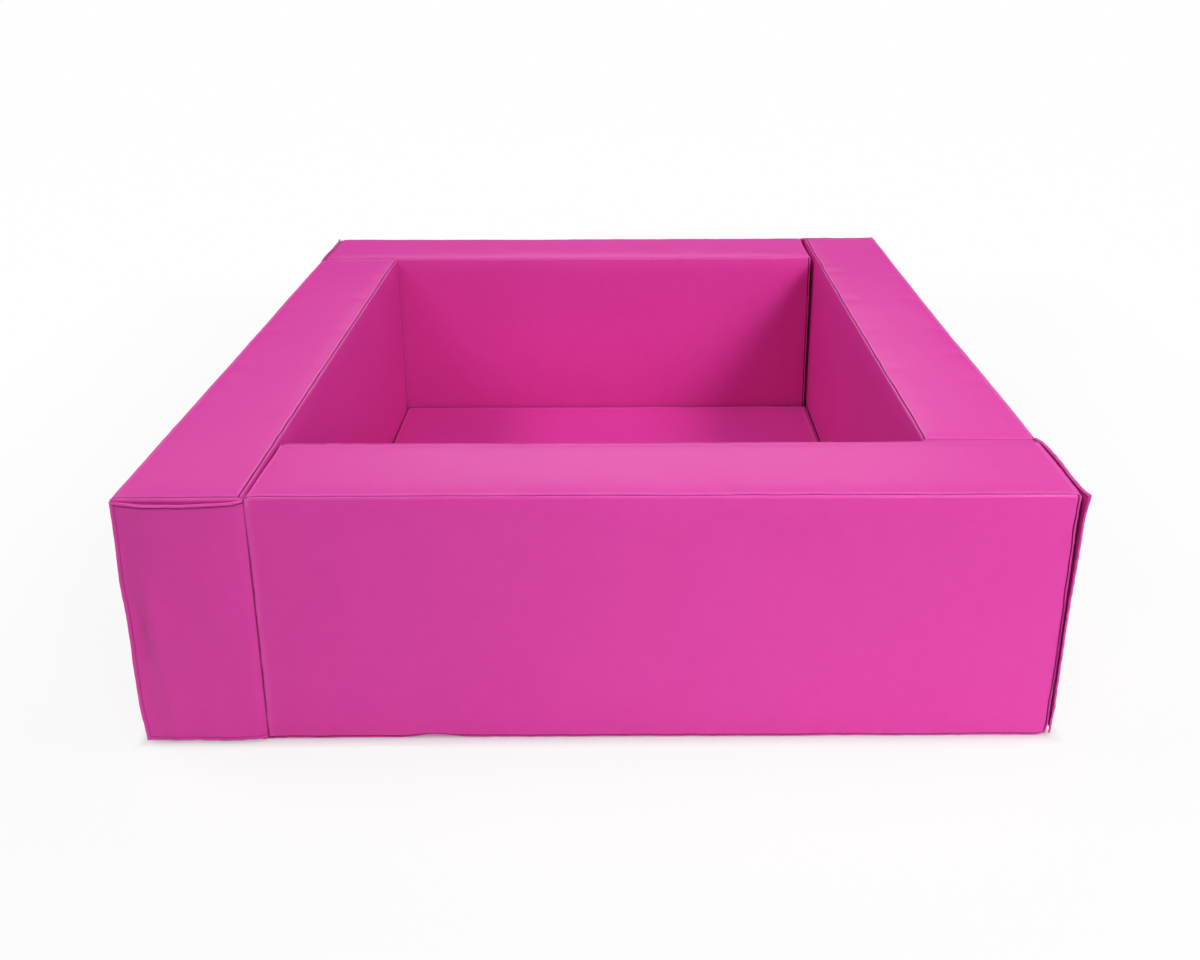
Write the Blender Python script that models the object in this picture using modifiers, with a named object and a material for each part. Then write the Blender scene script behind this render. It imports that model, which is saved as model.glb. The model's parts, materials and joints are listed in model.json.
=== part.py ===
"""Soft-play ball pit: four foam wall blocks in zipped vinyl covers, standing in a pinwheel round a thin padded mat.

Each block stops against the side of the next one, and a flap sewn to its outer face carries on over that
neighbour's end, where hook tape on the flap grips loop tape on the cover. Every cover has its zip underneath.

Units are metres and +Z is up. The origin is on the floor, at the middle of the footprint.
"""

import math

import bmesh
import bpy
from mathutils import Matrix, Vector

MM = 0.001

# The pit as a whole, measured between seams; the swell of the faces comes on top
PIT_SIDE = 1494 * MM
WALL_THICKNESS = 194 * MM
WALL_HEIGHT = 447 * MM
WALL_NAMES = ("front", "right", "back", "left")

# How blocks and small parts meet
BLOCK_GAP = 5 * MM
SEAT_GAP = 0.3 * MM
FOAM_GAP = 0.5 * MM
CUT_OVERRUN = 10 * MM

# Vinyl covers
VINYL = 1.0 * MM
EDGE_RADIUS = 6 * MM
EDGE_SEGMENTS = 2
FACE_SWELL = 3 * MM
END_PROUD = 1.5 * MM
TOP_SWELL = 3 * MM
EDGE_DRAW_IN = 1.5 * MM
WALL_CELL_COUNT = 4
SHARP_ANGLE = math.radians(60)

# Flap over the neighbour's end
FLAP_THICKNESS = 2.2 * MM
FLAP_OVERHANG = 8 * MM
FLAP_SEAM_GAP = 0.5 * MM
FLAP_FLOOR_GAP = 6 * MM
FLAP_TOP_DROP = 5 * MM
HEM_WIDTH = 13 * MM
HEM_RAISE = 0.7 * MM
STEP_OUT_REACH = 26 * MM
STEP_CUT_SHARES = (0.2, 0.4, 0.7)
BELLY_CUT_SHARES = (0.25, 0.5, 0.75)
FLAP_CELL_COUNT = 5
FLAP_STRIP_CELL_COUNT = 2

# How each flap hangs: the belly between its seam and its tape, how far its top gapes, how far along the flap that
# gape takes to open, how far down it reaches, and how far its free edge curls out
FRONT_DRAPE = (3 * MM, 9 * MM, 120 * MM, 110 * MM, 3 * MM)
RIGHT_DRAPE = (3 * MM, 20 * MM, 30 * MM, 240 * MM, 0.5 * MM)
BACK_DRAPE = (4 * MM, 8 * MM, 110 * MM, 140 * MM, 4 * MM)
LEFT_DRAPE = (3 * MM, 10 * MM, 80 * MM, 160 * MM, 3 * MM)
TIP_CLOSE_SHARE = 0.5
FLAP_DRAPES = {"front": FRONT_DRAPE, "right": RIGHT_DRAPE, "back": BACK_DRAPE, "left": LEFT_DRAPE}

# Hook and loop tape
TAPE_STRIP_WIDTH = 50 * MM
TAPE_STRIP_HEIGHT = 370 * MM
TAPE_STRIP_CORNER = 4 * MM
HOOK_THICKNESS = 1.5 * MM
LOOP_THICKNESS = 1.2 * MM

# Mat
MAT_GAP = 4 * MM
MAT_HEIGHT = 20 * MM
MAT_SWELL = 2 * MM
MAT_EDGE_RADIUS = 5 * MM
MAT_ZIP_INSET = 126 * MM
MAT_CELL_COUNT = 1

# Zips, which stand in a fold of the bottom panel so that the slider clears the floor
WALL_ZIP_MARGIN = 95 * MM
MAT_ZIP_MARGIN = 99 * MM
ZIP_RISE = 8 * MM
ZIP_FOLD_WIDTH = 28 * MM
ZIP_TAPE_OVERLAP = 3 * MM
ZIP_TAPE_THICKNESS = 0.8 * MM
TOOTH_ROW_WIDTH = 4 * MM
TOOTH_ROW_THICKNESS = 3 * MM
TOOTH_ROW_GAP = 1.6 * MM
ZIP_STOP_LENGTH = 8 * MM
ZIP_CELL_COUNT = 4
FOAM_CHANNEL_ROOM = 1.5 * MM

# Zip slider and its pull
SLIDER_LENGTH = 22 * MM
SLIDER_PLATE = 1.2 * MM
SLIDER_SIDE = 1.4 * MM
SLIDER_CLEARANCE = 0.3 * MM
SLIDER_CORNER = 2.5 * MM
SLIDER_TAIL_SHARE = 0.82
SLIDER_END_GAP = 1 * MM
DIVIDER_THICKNESS = 0.8 * MM
DIVIDER_LENGTH = 7 * MM
BRIDGE_SPAN = 9 * MM
BRIDGE_OPENING = 2.4 * MM
BRIDGE_WIRE = 1.6 * MM
BRIDGE_ARC_POINTS = 5
BRIDGE_SIDES_RESOLUTION = 1
PULL_LENGTH = 32 * MM
PULL_WIDTH = 8 * MM
PULL_THICKNESS = 1.2 * MM
PULL_BAR_DROP = 1.1 * MM
PULL_CORNER = 2.5 * MM
PULL_CORNER_SEGMENTS = 3

# Colours of the pieces: red, green, blue, then roughness and metallic
VINYL_PINK = ((0.69, 0.05, 0.34), 0.42, 0.0)
FOAM_CREAM = ((0.78, 0.72, 0.55), 0.95, 0.0)
HOOK_PINK = ((0.50, 0.03, 0.22), 0.85, 0.0)
LOOP_PINK = ((0.58, 0.04, 0.27), 0.95, 0.0)
ZIP_TAPE_PINK = ((0.60, 0.04, 0.28), 0.80, 0.0)
SLIDER_NICKEL = ((0.62, 0.61, 0.58), 0.35, 1.0)

# Places that follow from the sizes above; the front wall is the one described, and the others are its turned copies
HALF_SIDE = PIT_SIDE / 2
CLOSURE_DEPTH = HOOK_THICKNESS + LOOP_THICKNESS + 3 * SEAT_GAP
BUTTED_END = -HALF_SIDE + WALL_THICKNESS + BLOCK_GAP
COVERED_END = HALF_SIDE + END_PROUD
WALL_LENGTH = COVERED_END - BUTTED_END
WALL_MIDDLE = Vector(((COVERED_END + BUTTED_END) / 2, -HALF_SIDE + WALL_THICKNESS / 2, 0))
FLAP_PIVOT = Vector((BUTTED_END + EDGE_RADIUS, -HALF_SIDE - FLAP_SEAM_GAP - FLAP_THICKNESS / 2, 0))
FLAP_WIDTH = EDGE_RADIUS + WALL_THICKNESS + BLOCK_GAP + FLAP_OVERHANG
FLAP_HEIGHT = WALL_HEIGHT - FLAP_TOP_DROP - FLAP_FLOOR_GAP
STRIP_REACH = FLAP_WIDTH - HEM_WIDTH - TAPE_STRIP_WIDTH / 2
STRIP_BOTTOM = FLAP_FLOOR_GAP + (FLAP_HEIGHT - TAPE_STRIP_HEIGHT) / 2
FLAP_STEP_OUT = CLOSURE_DEPTH + END_PROUD - FLAP_SEAM_GAP
MAT_SIDE = PIT_SIDE - 2 * WALL_THICKNESS - 2 * MAT_GAP
WALL_ZIP_LENGTH = WALL_LENGTH - 2 * WALL_ZIP_MARGIN
MAT_ZIP_LENGTH = MAT_SIDE - 2 * MAT_ZIP_MARGIN
SLIDER_WIDTH = 2 * TOOTH_ROW_WIDTH + TOOTH_ROW_GAP + 2 * SLIDER_CLEARANCE + 2 * SLIDER_SIDE
SLIDER_HEIGHT = TOOTH_ROW_THICKNESS + 2 * SLIDER_CLEARANCE + 2 * SLIDER_PLATE

AXES = (Vector((1, 0, 0)), Vector((0, 1, 0)), Vector((0, 0, 1)))


def clear_scene():
    """Takes every object out of the open file."""
    for obj in list(bpy.data.objects):
        bpy.data.objects.remove(obj, do_unlink=True)


def new_collection(name):
    """A collection in the scene."""
    collection = bpy.data.collections.new(name)
    bpy.context.scene.collection.children.link(collection)
    return collection


def new_material(name, finish):
    """A plain Principled material from a colour, a roughness and a metallic value."""
    colour, roughness, metallic = finish
    material = bpy.data.materials.new(name)
    material.use_nodes = True
    shader = material.node_tree.nodes["Principled BSDF"]
    shader.inputs["Base Color"].default_value = (*colour, 1)
    shader.inputs["Roughness"].default_value = roughness
    shader.inputs["Metallic"].default_value = metallic
    return material


def new_empty(name, place, parent=None, turn=0):
    """A frame to build in: its origin is a joint's axis, or a block's corner of the pit."""
    empty = bpy.data.objects.new(name, None)
    empty.location = place
    empty.rotation_euler = (0, 0, turn)
    empty.parent = parent
    PARTS.objects.link(empty)
    return empty


def new_object(name, mesh, parent, material=None, collection=None):
    """An object in its parent's frame. With no material it is a helper, which isn't rendered."""
    obj = bpy.data.objects.new(name, mesh)
    obj.parent = parent
    (collection or PARTS).objects.link(obj)
    if material is None:
        obj.hide_render = True
        obj.display_type = "WIRE"
    elif not mesh.materials:
        mesh.materials.append(material)
    return obj


def mesh_from(bm, name):
    """Closes a bmesh into a mesh that is shaded smooth, apart from its sharp edges."""
    bmesh.ops.recalc_face_normals(bm, faces=bm.faces[:])
    mesh = bpy.data.meshes.new(name)
    bm.to_mesh(mesh)
    bm.free()
    mesh.shade_smooth()
    mesh.set_sharp_from_angle(angle=SHARP_ANGLE)
    return mesh


def cut_box(size, cuts=((), (), ()), middle=(0, 0, 0)):
    """A box about its middle whose faces are divided by planes at the places in cuts, given for X, Y and Z."""
    bm = bmesh.new()
    bmesh.ops.create_cube(bm, size=1)
    bmesh.ops.scale(bm, vec=size, verts=bm.verts[:])
    bmesh.ops.translate(bm, vec=middle, verts=bm.verts[:])
    for axis, places in zip(AXES, cuts):
        for place in places:
            everything = bm.verts[:] + bm.edges[:] + bm.faces[:]
            bmesh.ops.bisect_plane(bm, geom=everything, plane_co=axis * place, plane_no=axis)
    return bm


def evenly(low, high, cells):
    """The places that divide the stretch from low to high into cells, ends left out."""
    return [low + (high - low) * i / cells for i in range(1, cells)]


def round_sharp_edges(bm, radius, segments, along=None):
    """Rounds the edges where faces meet at a sharp angle, or only those that run along one axis."""
    sharp = [e for e in bm.edges if len(e.link_faces) == 2 and e.calc_face_angle() > SHARP_ANGLE]
    if along is not None:
        sharp = [e for e in sharp if abs((e.verts[1].co - e.verts[0].co).normalized().dot(along)) > math.cos(SHARP_ANGLE)]
    bmesh.ops.bevel(bm, geom=sharp, offset=radius, segments=segments, profile=0.5, affect="EDGES", clamp_overlap=True)


def edge_draw(along):
    """How far an edge of a cover is drawn in at a point given from -1 to 1 along it."""
    return EDGE_DRAW_IN * (1 - along**2)


def swollen(across, along, swell):
    """How far a face stands out at a point given from -1 to 1 both ways: crowned inside, drawn in along its edges."""
    inside = (1 - across**2) * (1 - along**2)
    return swell * inside - across**2 * edge_draw(along) - along**2 * edge_draw(across)


def swell_faces(bm, size, middle, side_swells, top_swell):
    """Fills out a box: its X and Y faces by side_swells, and its top by top_swell. Its bottom stays flat."""
    half = Vector(size) / 2
    for vert in bm.verts:
        x, y, z = ((vert.co[i] - middle[i]) / half[i] for i in range(3))
        if side_swells[0]:
            vert.co.x += x * swollen(y, z, side_swells[0])
        if side_swells[1]:
            vert.co.y += y * swollen(x, z, side_swells[1])
        vert.co.z += (1 + z) / 2 * swollen(x, y, top_swell)


def faces_within(bm, length, width, middle, height):
    """The level faces at one height whose middles lie inside a rectangle."""
    found = []
    for face in bm.faces:
        centre = face.calc_center_median()
        level = abs(centre.z - height) < SEAT_GAP / 2
        if level and abs(centre.x - middle[0]) < length / 2 and abs(centre.y - middle[1]) < width / 2:
            found.append(face)
    return found


def add_padded_block(name, frame, size, side_swells, top_swell, edge_radius, zip_length, zip_offset, cell_count):
    """A foam piece in its zipped cover: the cover, the foam, and the zip under it.

    size is the length, depth and height between seams, and zip_offset how far the zip lies off the middle line.
    """
    length, depth, height = size
    fold = ZIP_FOLD_WIDTH / 2
    zip_ends = [-zip_length / 2, *evenly(-zip_length / 2, zip_length / 2, ZIP_CELL_COUNT), zip_length / 2]
    beside = [(zip_offset - fold - depth / 2) / 2, (zip_offset + fold + depth / 2) / 2]
    upright = evenly(0, height, cell_count)

    cuts = (zip_ends, [beside[0], zip_offset - fold, zip_offset + fold, beside[1]], upright)
    middle = (0, 0, height / 2)
    bm = cut_box(size, cuts, middle)
    round_sharp_edges(bm, edge_radius, EDGE_SEGMENTS)
    swell_faces(bm, size, middle, side_swells, top_swell)
    opening = faces_within(bm, zip_length, ZIP_FOLD_WIDTH, (0, zip_offset), 0)
    bmesh.ops.delete(bm, geom=opening, context="FACES")
    bmesh.ops.recalc_face_normals(bm, faces=bm.faces[:])
    rim = [edge for edge in bm.edges if edge.is_boundary]
    lip = bmesh.ops.extrude_edge_only(bm, edges=rim)["geom"]
    lip_height = ZIP_RISE - ZIP_TAPE_THICKNESS / 2 - SEAT_GAP
    bmesh.ops.translate(bm, vec=(0, 0, lip_height), verts=[v for v in lip if isinstance(v, bmesh.types.BMVert)])
    cover_mesh = mesh_from(bm, name + "_cover")
    cover = new_object(name + "_cover", cover_mesh, frame, VINYL_FINISH)
    wall = cover.modifiers.new("vinyl", "SOLIDIFY")
    wall.thickness = VINYL
    wall.offset = -1

    inset = VINYL + FOAM_GAP
    foam_size = (length - 2 * inset, depth - 2 * inset, height - 2 * inset)
    tape_half = fold + ZIP_TAPE_OVERLAP + FOAM_CHANNEL_ROOM
    channel_length = zip_length + 2 * ZIP_TAPE_OVERLAP + 2 * FOAM_CHANNEL_ROOM
    foam_ends = [-channel_length / 2, *zip_ends[1:-1], channel_length / 2]
    cuts = (foam_ends, [beside[0], zip_offset - tape_half, zip_offset + tape_half, beside[1]], upright)
    bm = cut_box(foam_size, cuts, middle)
    round_sharp_edges(bm, edge_radius, 1)
    swell_faces(bm, foam_size, middle, side_swells, top_swell)
    under = faces_within(bm, channel_length, 2 * tape_half, (0, zip_offset), inset)
    roof = bmesh.ops.extrude_face_region(bm, geom=under)["geom"]
    bmesh.ops.delete(bm, geom=under, context="FACES")
    channel_top = ZIP_RISE + SLIDER_HEIGHT / 2 + FOAM_CHANNEL_ROOM
    bmesh.ops.translate(
        bm, vec=(0, 0, channel_top - inset), verts=[v for v in roof if isinstance(v, bmesh.types.BMVert)]
    )
    new_object(name + "_foam_core", mesh_from(bm, name + "_foam_core"), frame, FOAM_FINISH)

    zip_frame = new_empty(name + "_zip_frame", (0, zip_offset, ZIP_RISE), frame)
    add_zip(name, zip_frame, zip_length)


def box_helper(name, size, middle, parent):
    """A box that cuts or joins another piece, and isn't itself a part."""
    return new_object(name, mesh_from(cut_box(size, middle=middle), name), parent, collection=CUTTERS)


def boolean(obj, other, operation):
    """A Boolean modifier with the exact solver."""
    modifier = obj.modifiers.new(operation.lower(), "BOOLEAN")
    modifier.operation = operation
    modifier.solver = "EXACT"
    modifier.object = other


def add_zip(name, frame, length):
    """A closed zip along X, its tape's middle plane at the frame's level and the slider's outer side down."""
    tape_size = (length + 2 * ZIP_TAPE_OVERLAP, ZIP_FOLD_WIDTH + 2 * ZIP_TAPE_OVERLAP, ZIP_TAPE_THICKNESS)
    row_pair = 2 * TOOTH_ROW_WIDTH + TOOTH_ROW_GAP
    mesh = mesh_from(cut_box(tape_size), name + "_zip_tape")
    tape = new_object(name + "_zip_tape", mesh, frame, ZIP_TAPE_FINISH)
    rows_length = length - 2 * SLIDER_END_GAP
    rows = box_helper(name + "_tooth_rows", (rows_length, row_pair, TOOTH_ROW_THICKNESS), (0, 0, 0), frame)
    slit_length = rows_length - 2 * ZIP_STOP_LENGTH
    slit_size = (slit_length, TOOTH_ROW_GAP, TOOTH_ROW_THICKNESS + CUT_OVERRUN)
    slit = box_helper(name + "_tooth_slit", slit_size, (0, 0, 0), frame)
    boolean(tape, rows, "UNION")
    boolean(tape, slit, "DIFFERENCE")

    closed_end = slit_length / 2 - SLIDER_END_GAP - SLIDER_LENGTH / 2
    slider_frame = new_empty(name + "_zip_slider_frame", (closed_end, 0, 0), frame)
    add_slider(name, slider_frame)


def add_slider(name, frame):
    """The slider round the tooth rows: two plates with turned sides, a divider at its nose and a bridge under it."""
    bm = cut_box((SLIDER_LENGTH, SLIDER_WIDTH, SLIDER_HEIGHT))
    for vert in bm.verts:
        if vert.co.x < 0:
            vert.co.y *= SLIDER_TAIL_SHARE
    round_sharp_edges(bm, SLIDER_CORNER, EDGE_SEGMENTS, along=AXES[2])
    slider = new_object(name + "_zip_slider", mesh_from(bm, name + "_zip_slider"), frame, METAL_FINISH)

    channel_height = TOOTH_ROW_THICKNESS + 2 * SLIDER_CLEARANCE
    channel_width = 2 * TOOTH_ROW_WIDTH + TOOTH_ROW_GAP + 2 * SLIDER_CLEARANCE
    past_ends = SLIDER_LENGTH + CUT_OVERRUN
    channel = box_helper(name + "_slider_channel", (past_ends, channel_width, channel_height), (0, 0, 0), frame)
    slot_size = (past_ends, SLIDER_WIDTH + CUT_OVERRUN, ZIP_TAPE_THICKNESS + 2 * SLIDER_CLEARANCE)
    slot = box_helper(name + "_slider_tape_slot", slot_size, (0, 0, 0), frame)
    boolean(slider, channel, "DIFFERENCE")
    boolean(slider, slot, "DIFFERENCE")

    divider_size = (DIVIDER_LENGTH, DIVIDER_THICKNESS, channel_height + SLIDER_PLATE)
    divider_middle = (SLIDER_LENGTH / 2 - DIVIDER_LENGTH / 2 - SLIDER_CORNER / 2, 0, 0)
    divider = box_helper(name + "_slider_divider", divider_size, divider_middle, frame)
    boolean(slider, divider, "UNION")
    boolean(slider, bridge_mesh_object(name, frame), "UNION")

    bar_height = -SLIDER_HEIGHT / 2 - PULL_BAR_DROP
    pull_frame = new_empty(name + "_zip_pull_frame", (0, 0, bar_height), frame)
    add_pull(name, pull_frame)


def bridge_mesh_object(name, frame):
    """The wire bridge that holds the pull, as a mesh helper: an arch under the slider, its feet in the plate."""
    curve = bpy.data.curves.new(name + "_bridge", "CURVE")
    curve.dimensions = "3D"
    curve.bevel_depth = BRIDGE_WIRE / 2
    curve.bevel_resolution = BRIDGE_SIDES_RESOLUTION
    curve.use_fill_caps = True
    half = (BRIDGE_SPAN - BRIDGE_WIRE) / 2
    drop = BRIDGE_OPENING + BRIDGE_WIRE / 2
    foot = -SLIDER_HEIGHT / 2 + SLIDER_PLATE / 2
    turn = half / 2
    points = [Vector((half, 0, foot))]
    for i in range(BRIDGE_ARC_POINTS):
        angle = math.pi / 2 * i / (BRIDGE_ARC_POINTS - 1)
        low = -SLIDER_HEIGHT / 2 - drop + turn
        points.append(Vector((half - turn + turn * math.cos(angle), 0, low - turn * math.sin(angle))))
    points += [Vector((-p.x, 0, p.z)) for p in reversed(points)]
    spline = curve.splines.new("POLY")
    spline.points.add(len(points) - 1)
    for point, place in zip(spline.points, points):
        point.co = (*place, 1)

    tube = bpy.data.objects.new(name + "_bridge_tube", curve)
    tube.parent = frame
    CUTTERS.objects.link(tube)
    bpy.context.view_layer.update()
    evaluated = tube.evaluated_get(bpy.context.evaluated_depsgraph_get())
    bm = bmesh.new()
    bm.from_mesh(bpy.data.meshes.new_from_object(evaluated))
    bmesh.ops.remove_doubles(bm, verts=bm.verts[:], dist=WELD_DISTANCE)
    bpy.data.objects.remove(tube)
    return new_object(name + "_bridge", mesh_from(bm, name + "_bridge"), frame, collection=CUTTERS)


def add_pull(name, frame):
    """The pull: a flat tab whose end bar lies in the bridge, with a window that the bridge passes through."""
    bar_half = PULL_THICKNESS / 2
    middle = (bar_half - PULL_LENGTH / 2, 0, 0)
    bm = cut_box((PULL_LENGTH, PULL_WIDTH, PULL_THICKNESS), middle=middle)
    round_sharp_edges(bm, PULL_CORNER, PULL_CORNER_SEGMENTS, along=AXES[2])
    pull = new_object(name + "_zip_pull", mesh_from(bm, name + "_zip_pull"), frame, METAL_FINISH)
    window_length = BRIDGE_SPAN / 2 + BRIDGE_WIRE / 2
    window_size = (window_length, BRIDGE_WIRE + 2 * SLIDER_CLEARANCE, PULL_THICKNESS + CUT_OVERRUN)
    window_middle = (-bar_half - window_length / 2, 0, 0)
    window = box_helper(name + "_pull_window", window_size, window_middle, frame)
    boolean(pull, window, "DIFFERENCE")


def flap_lift(reach, up, drape):
    """How far the flap stands out at a distance from its seam and a height up it.

    It lies on the cover at the seam, steps out over the neighbour's end, bellies from there to the hook tape, curls
    at its free edge and gapes at its top, where the hook tape draws the free edge back.
    """
    belly, gape, gape_reach, gape_depth, curl = drape
    strip_start = STRIP_REACH - TAPE_STRIP_WIDTH / 2
    strip_stop = STRIP_REACH + TAPE_STRIP_WIDTH / 2
    lift = FLAP_STEP_OUT * quarter_wave(reach / STEP_OUT_REACH)
    if reach < strip_start:
        lift += belly * math.sin(math.pi * reach / strip_start) ** 2
    if reach > strip_stop:
        lift += curl * ((reach - strip_stop) / (FLAP_WIDTH - strip_stop)) ** 2
    gape_start = FLAP_FLOOR_GAP + FLAP_HEIGHT - gape_depth
    if up > gape_start:
        tip_share = max(reach - strip_start, 0) / (FLAP_WIDTH - strip_start)
        still_open = 1 - TIP_CLOSE_SHARE * tip_share**2
        lift += gape * still_open * quarter_wave(reach / gape_reach) * ((up - gape_start) / gape_depth) ** 2
    return lift


def quarter_wave(share):
    """A rise from 0 to 1 that starts steep and levels off."""
    return math.sin(math.pi / 2 * min(share, 1))


def lift_with_flap(bm, drape):
    """Moves a piece that was built flat in the flap's frame to where the hanging flap carries it."""
    for vert in bm.verts:
        vert.co.y -= flap_lift(max(-vert.co.x, 0), vert.co.z, drape)


def flap_heights():
    """The places up the flap where it is divided, its hems' inner edges among them."""
    low, high = FLAP_FLOOR_GAP + HEM_WIDTH, FLAP_FLOOR_GAP + FLAP_HEIGHT - HEM_WIDTH
    return [low, *evenly(low, high, FLAP_CELL_COUNT), high]


def add_flap(name, frame, drape):
    """The hemmed flap, which reaches from the seam along -X over the neighbour's end, and its hook tape."""
    strip_start = STRIP_REACH - TAPE_STRIP_WIDTH / 2
    tip = -FLAP_WIDTH
    floor, top = FLAP_FLOOR_GAP, FLAP_FLOOR_GAP + FLAP_HEIGHT
    step_cuts = [-STEP_OUT_REACH * share for share in STEP_CUT_SHARES] + [-STEP_OUT_REACH]
    belly_cuts = [-strip_start * share for share in BELLY_CUT_SHARES]
    strip_cuts = evenly(-strip_start, -strip_start - TAPE_STRIP_WIDTH, FLAP_STRIP_CELL_COUNT)
    x_cuts = [*step_cuts, *belly_cuts, -strip_start, *strip_cuts, tip + HEM_WIDTH]
    size, middle = (FLAP_WIDTH, FLAP_THICKNESS, FLAP_HEIGHT), (tip / 2, 0, (floor + top) / 2)
    bm = cut_box(size, (x_cuts, (), flap_heights()), middle)

    hem = []
    for face in bm.faces:
        centre = face.calc_center_median()
        free = centre.x < tip + HEM_WIDTH or centre.z > top - HEM_WIDTH or centre.z < floor + HEM_WIDTH
        if free and face.normal.y < -math.cos(SHARP_ANGLE):
            hem.append(face)
    raised = bmesh.ops.extrude_face_region(bm, geom=hem)["geom"]
    bmesh.ops.delete(bm, geom=hem, context="FACES")
    bmesh.ops.translate(bm, vec=(0, -HEM_RAISE, 0), verts=[v for v in raised if isinstance(v, bmesh.types.BMVert)])
    lift_with_flap(bm, drape)
    new_object(name + "_flap", mesh_from(bm, name + "_flap"), frame, VINYL_FINISH)

    bm = tape_strip(HOOK_THICKNESS, flap_heights())
    behind = FLAP_THICKNESS / 2 + SEAT_GAP + HOOK_THICKNESS / 2
    bmesh.ops.translate(bm, vec=(-STRIP_REACH, behind, 0), verts=bm.verts[:])
    lift_with_flap(bm, drape)
    new_object(name + "_hook_strip", mesh_from(bm, name + "_hook_strip"), frame, HOOK_FINISH)


def tape_strip(thickness, heights):
    """A strip of hook or loop tape, standing in the XZ plane with its corners rounded, divided at some heights."""
    size = (TAPE_STRIP_WIDTH, thickness, TAPE_STRIP_HEIGHT)
    bottom, top = STRIP_BOTTOM + TAPE_STRIP_CORNER, STRIP_BOTTOM + TAPE_STRIP_HEIGHT - TAPE_STRIP_CORNER
    inside = [height for height in heights if bottom < height < top]
    bm = cut_box(size, ((), (), inside), (0, 0, STRIP_BOTTOM + TAPE_STRIP_HEIGHT / 2))
    round_sharp_edges(bm, TAPE_STRIP_CORNER, EDGE_SEGMENTS, along=AXES[1])
    return bm


def add_loop_strip(name, frame):
    """The loop tape sewn to the covered end, where the neighbour's hook tape comes to lie."""
    mesh = mesh_from(tape_strip(LOOP_THICKNESS, ()), name + "_loop_strip")
    loop = new_object(name + "_loop_strip", mesh, frame, LOOP_FINISH)
    loop.rotation_euler = (0, 0, math.pi / 2)
    loop.location = (COVERED_END + SEAT_GAP + LOOP_THICKNESS / 2, FLAP_PIVOT.x - STRIP_REACH, 0)


def add_wall(side, turn):
    """One wall block with all that is sewn to it, built as the front wall and turned about the pit's middle."""
    name = side + "_wall"
    corner = new_empty(name, (0, 0, 0), turn=turn)
    block_frame = new_empty(name + "_block", WALL_MIDDLE, corner)
    size = (WALL_LENGTH, WALL_THICKNESS, WALL_HEIGHT)
    add_padded_block(
        name, block_frame, size, (0, FACE_SWELL), TOP_SWELL, EDGE_RADIUS, WALL_ZIP_LENGTH, 0, WALL_CELL_COUNT
    )
    flap_frame = new_empty(name + "_flap_hinge", FLAP_PIVOT, corner)
    add_flap(name, flap_frame, FLAP_DRAPES[side])
    add_loop_strip(name, corner)


def add_mat():
    """The padded mat that lies loose between the walls."""
    frame = new_empty("mat_frame", (0, 0, 0))
    size = (MAT_SIDE, MAT_SIDE, MAT_HEIGHT)
    zip_offset = -MAT_SIDE / 2 + MAT_ZIP_INSET
    add_padded_block(
        "mat", frame, size, (0, 0), MAT_SWELL, MAT_EDGE_RADIUS, MAT_ZIP_LENGTH, zip_offset, MAT_CELL_COUNT
    )


WELD_DISTANCE = 0.01 * MM
clear_scene()
PARTS = new_collection("ball_pit")
CUTTERS = new_collection("ball_pit_cutters")
VINYL_FINISH = new_material("vinyl", VINYL_PINK)
FOAM_FINISH = new_material("foam", FOAM_CREAM)
HOOK_FINISH = new_material("hook_tape", HOOK_PINK)
LOOP_FINISH = new_material("loop_tape", LOOP_PINK)
ZIP_TAPE_FINISH = new_material("zip_tape", ZIP_TAPE_PINK)
METAL_FINISH = new_material("slider_metal", SLIDER_NICKEL)

for index, wall_side in enumerate(WALL_NAMES):
    add_wall(wall_side, index * math.pi / 2)
add_mat()
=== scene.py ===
"""Soft-play ball pit, dressed: zipped vinyl covers on foam blocks, hemmed flaps, a padded mat and a plain studio.

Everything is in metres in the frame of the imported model: the floor is at z = 0 and the pit's front is towards -Y.
Each wall is described as the front one and then turned about the pit's middle.
"""

import json
import logging
import math
import random
from collections.abc import Callable, Iterable, Iterator, Mapping, Sequence
from contextlib import contextmanager
from dataclasses import dataclass
from enum import Enum
from typing import Any

import bmesh
import bpy
import numpy as np
from mathutils import Matrix, Vector

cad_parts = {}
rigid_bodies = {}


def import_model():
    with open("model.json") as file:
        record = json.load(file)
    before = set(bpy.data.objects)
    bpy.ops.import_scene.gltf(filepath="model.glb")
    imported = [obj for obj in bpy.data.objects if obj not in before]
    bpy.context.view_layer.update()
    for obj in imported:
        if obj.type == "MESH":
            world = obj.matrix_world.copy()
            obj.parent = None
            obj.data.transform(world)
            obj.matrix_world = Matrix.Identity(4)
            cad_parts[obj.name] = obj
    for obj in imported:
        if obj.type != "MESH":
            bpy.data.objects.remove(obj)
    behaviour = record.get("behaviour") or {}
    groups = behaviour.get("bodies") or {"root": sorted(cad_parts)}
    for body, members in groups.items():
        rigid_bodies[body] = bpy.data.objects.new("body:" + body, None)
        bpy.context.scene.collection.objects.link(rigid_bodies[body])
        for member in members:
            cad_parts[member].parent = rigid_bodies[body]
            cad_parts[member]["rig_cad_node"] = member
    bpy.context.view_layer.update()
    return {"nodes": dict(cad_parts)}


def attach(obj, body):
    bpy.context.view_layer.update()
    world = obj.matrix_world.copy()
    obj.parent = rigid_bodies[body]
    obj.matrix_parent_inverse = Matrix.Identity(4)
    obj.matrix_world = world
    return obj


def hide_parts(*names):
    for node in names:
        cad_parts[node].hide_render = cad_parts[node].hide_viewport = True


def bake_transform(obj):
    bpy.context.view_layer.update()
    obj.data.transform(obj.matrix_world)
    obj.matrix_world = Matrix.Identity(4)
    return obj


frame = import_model()

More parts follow.
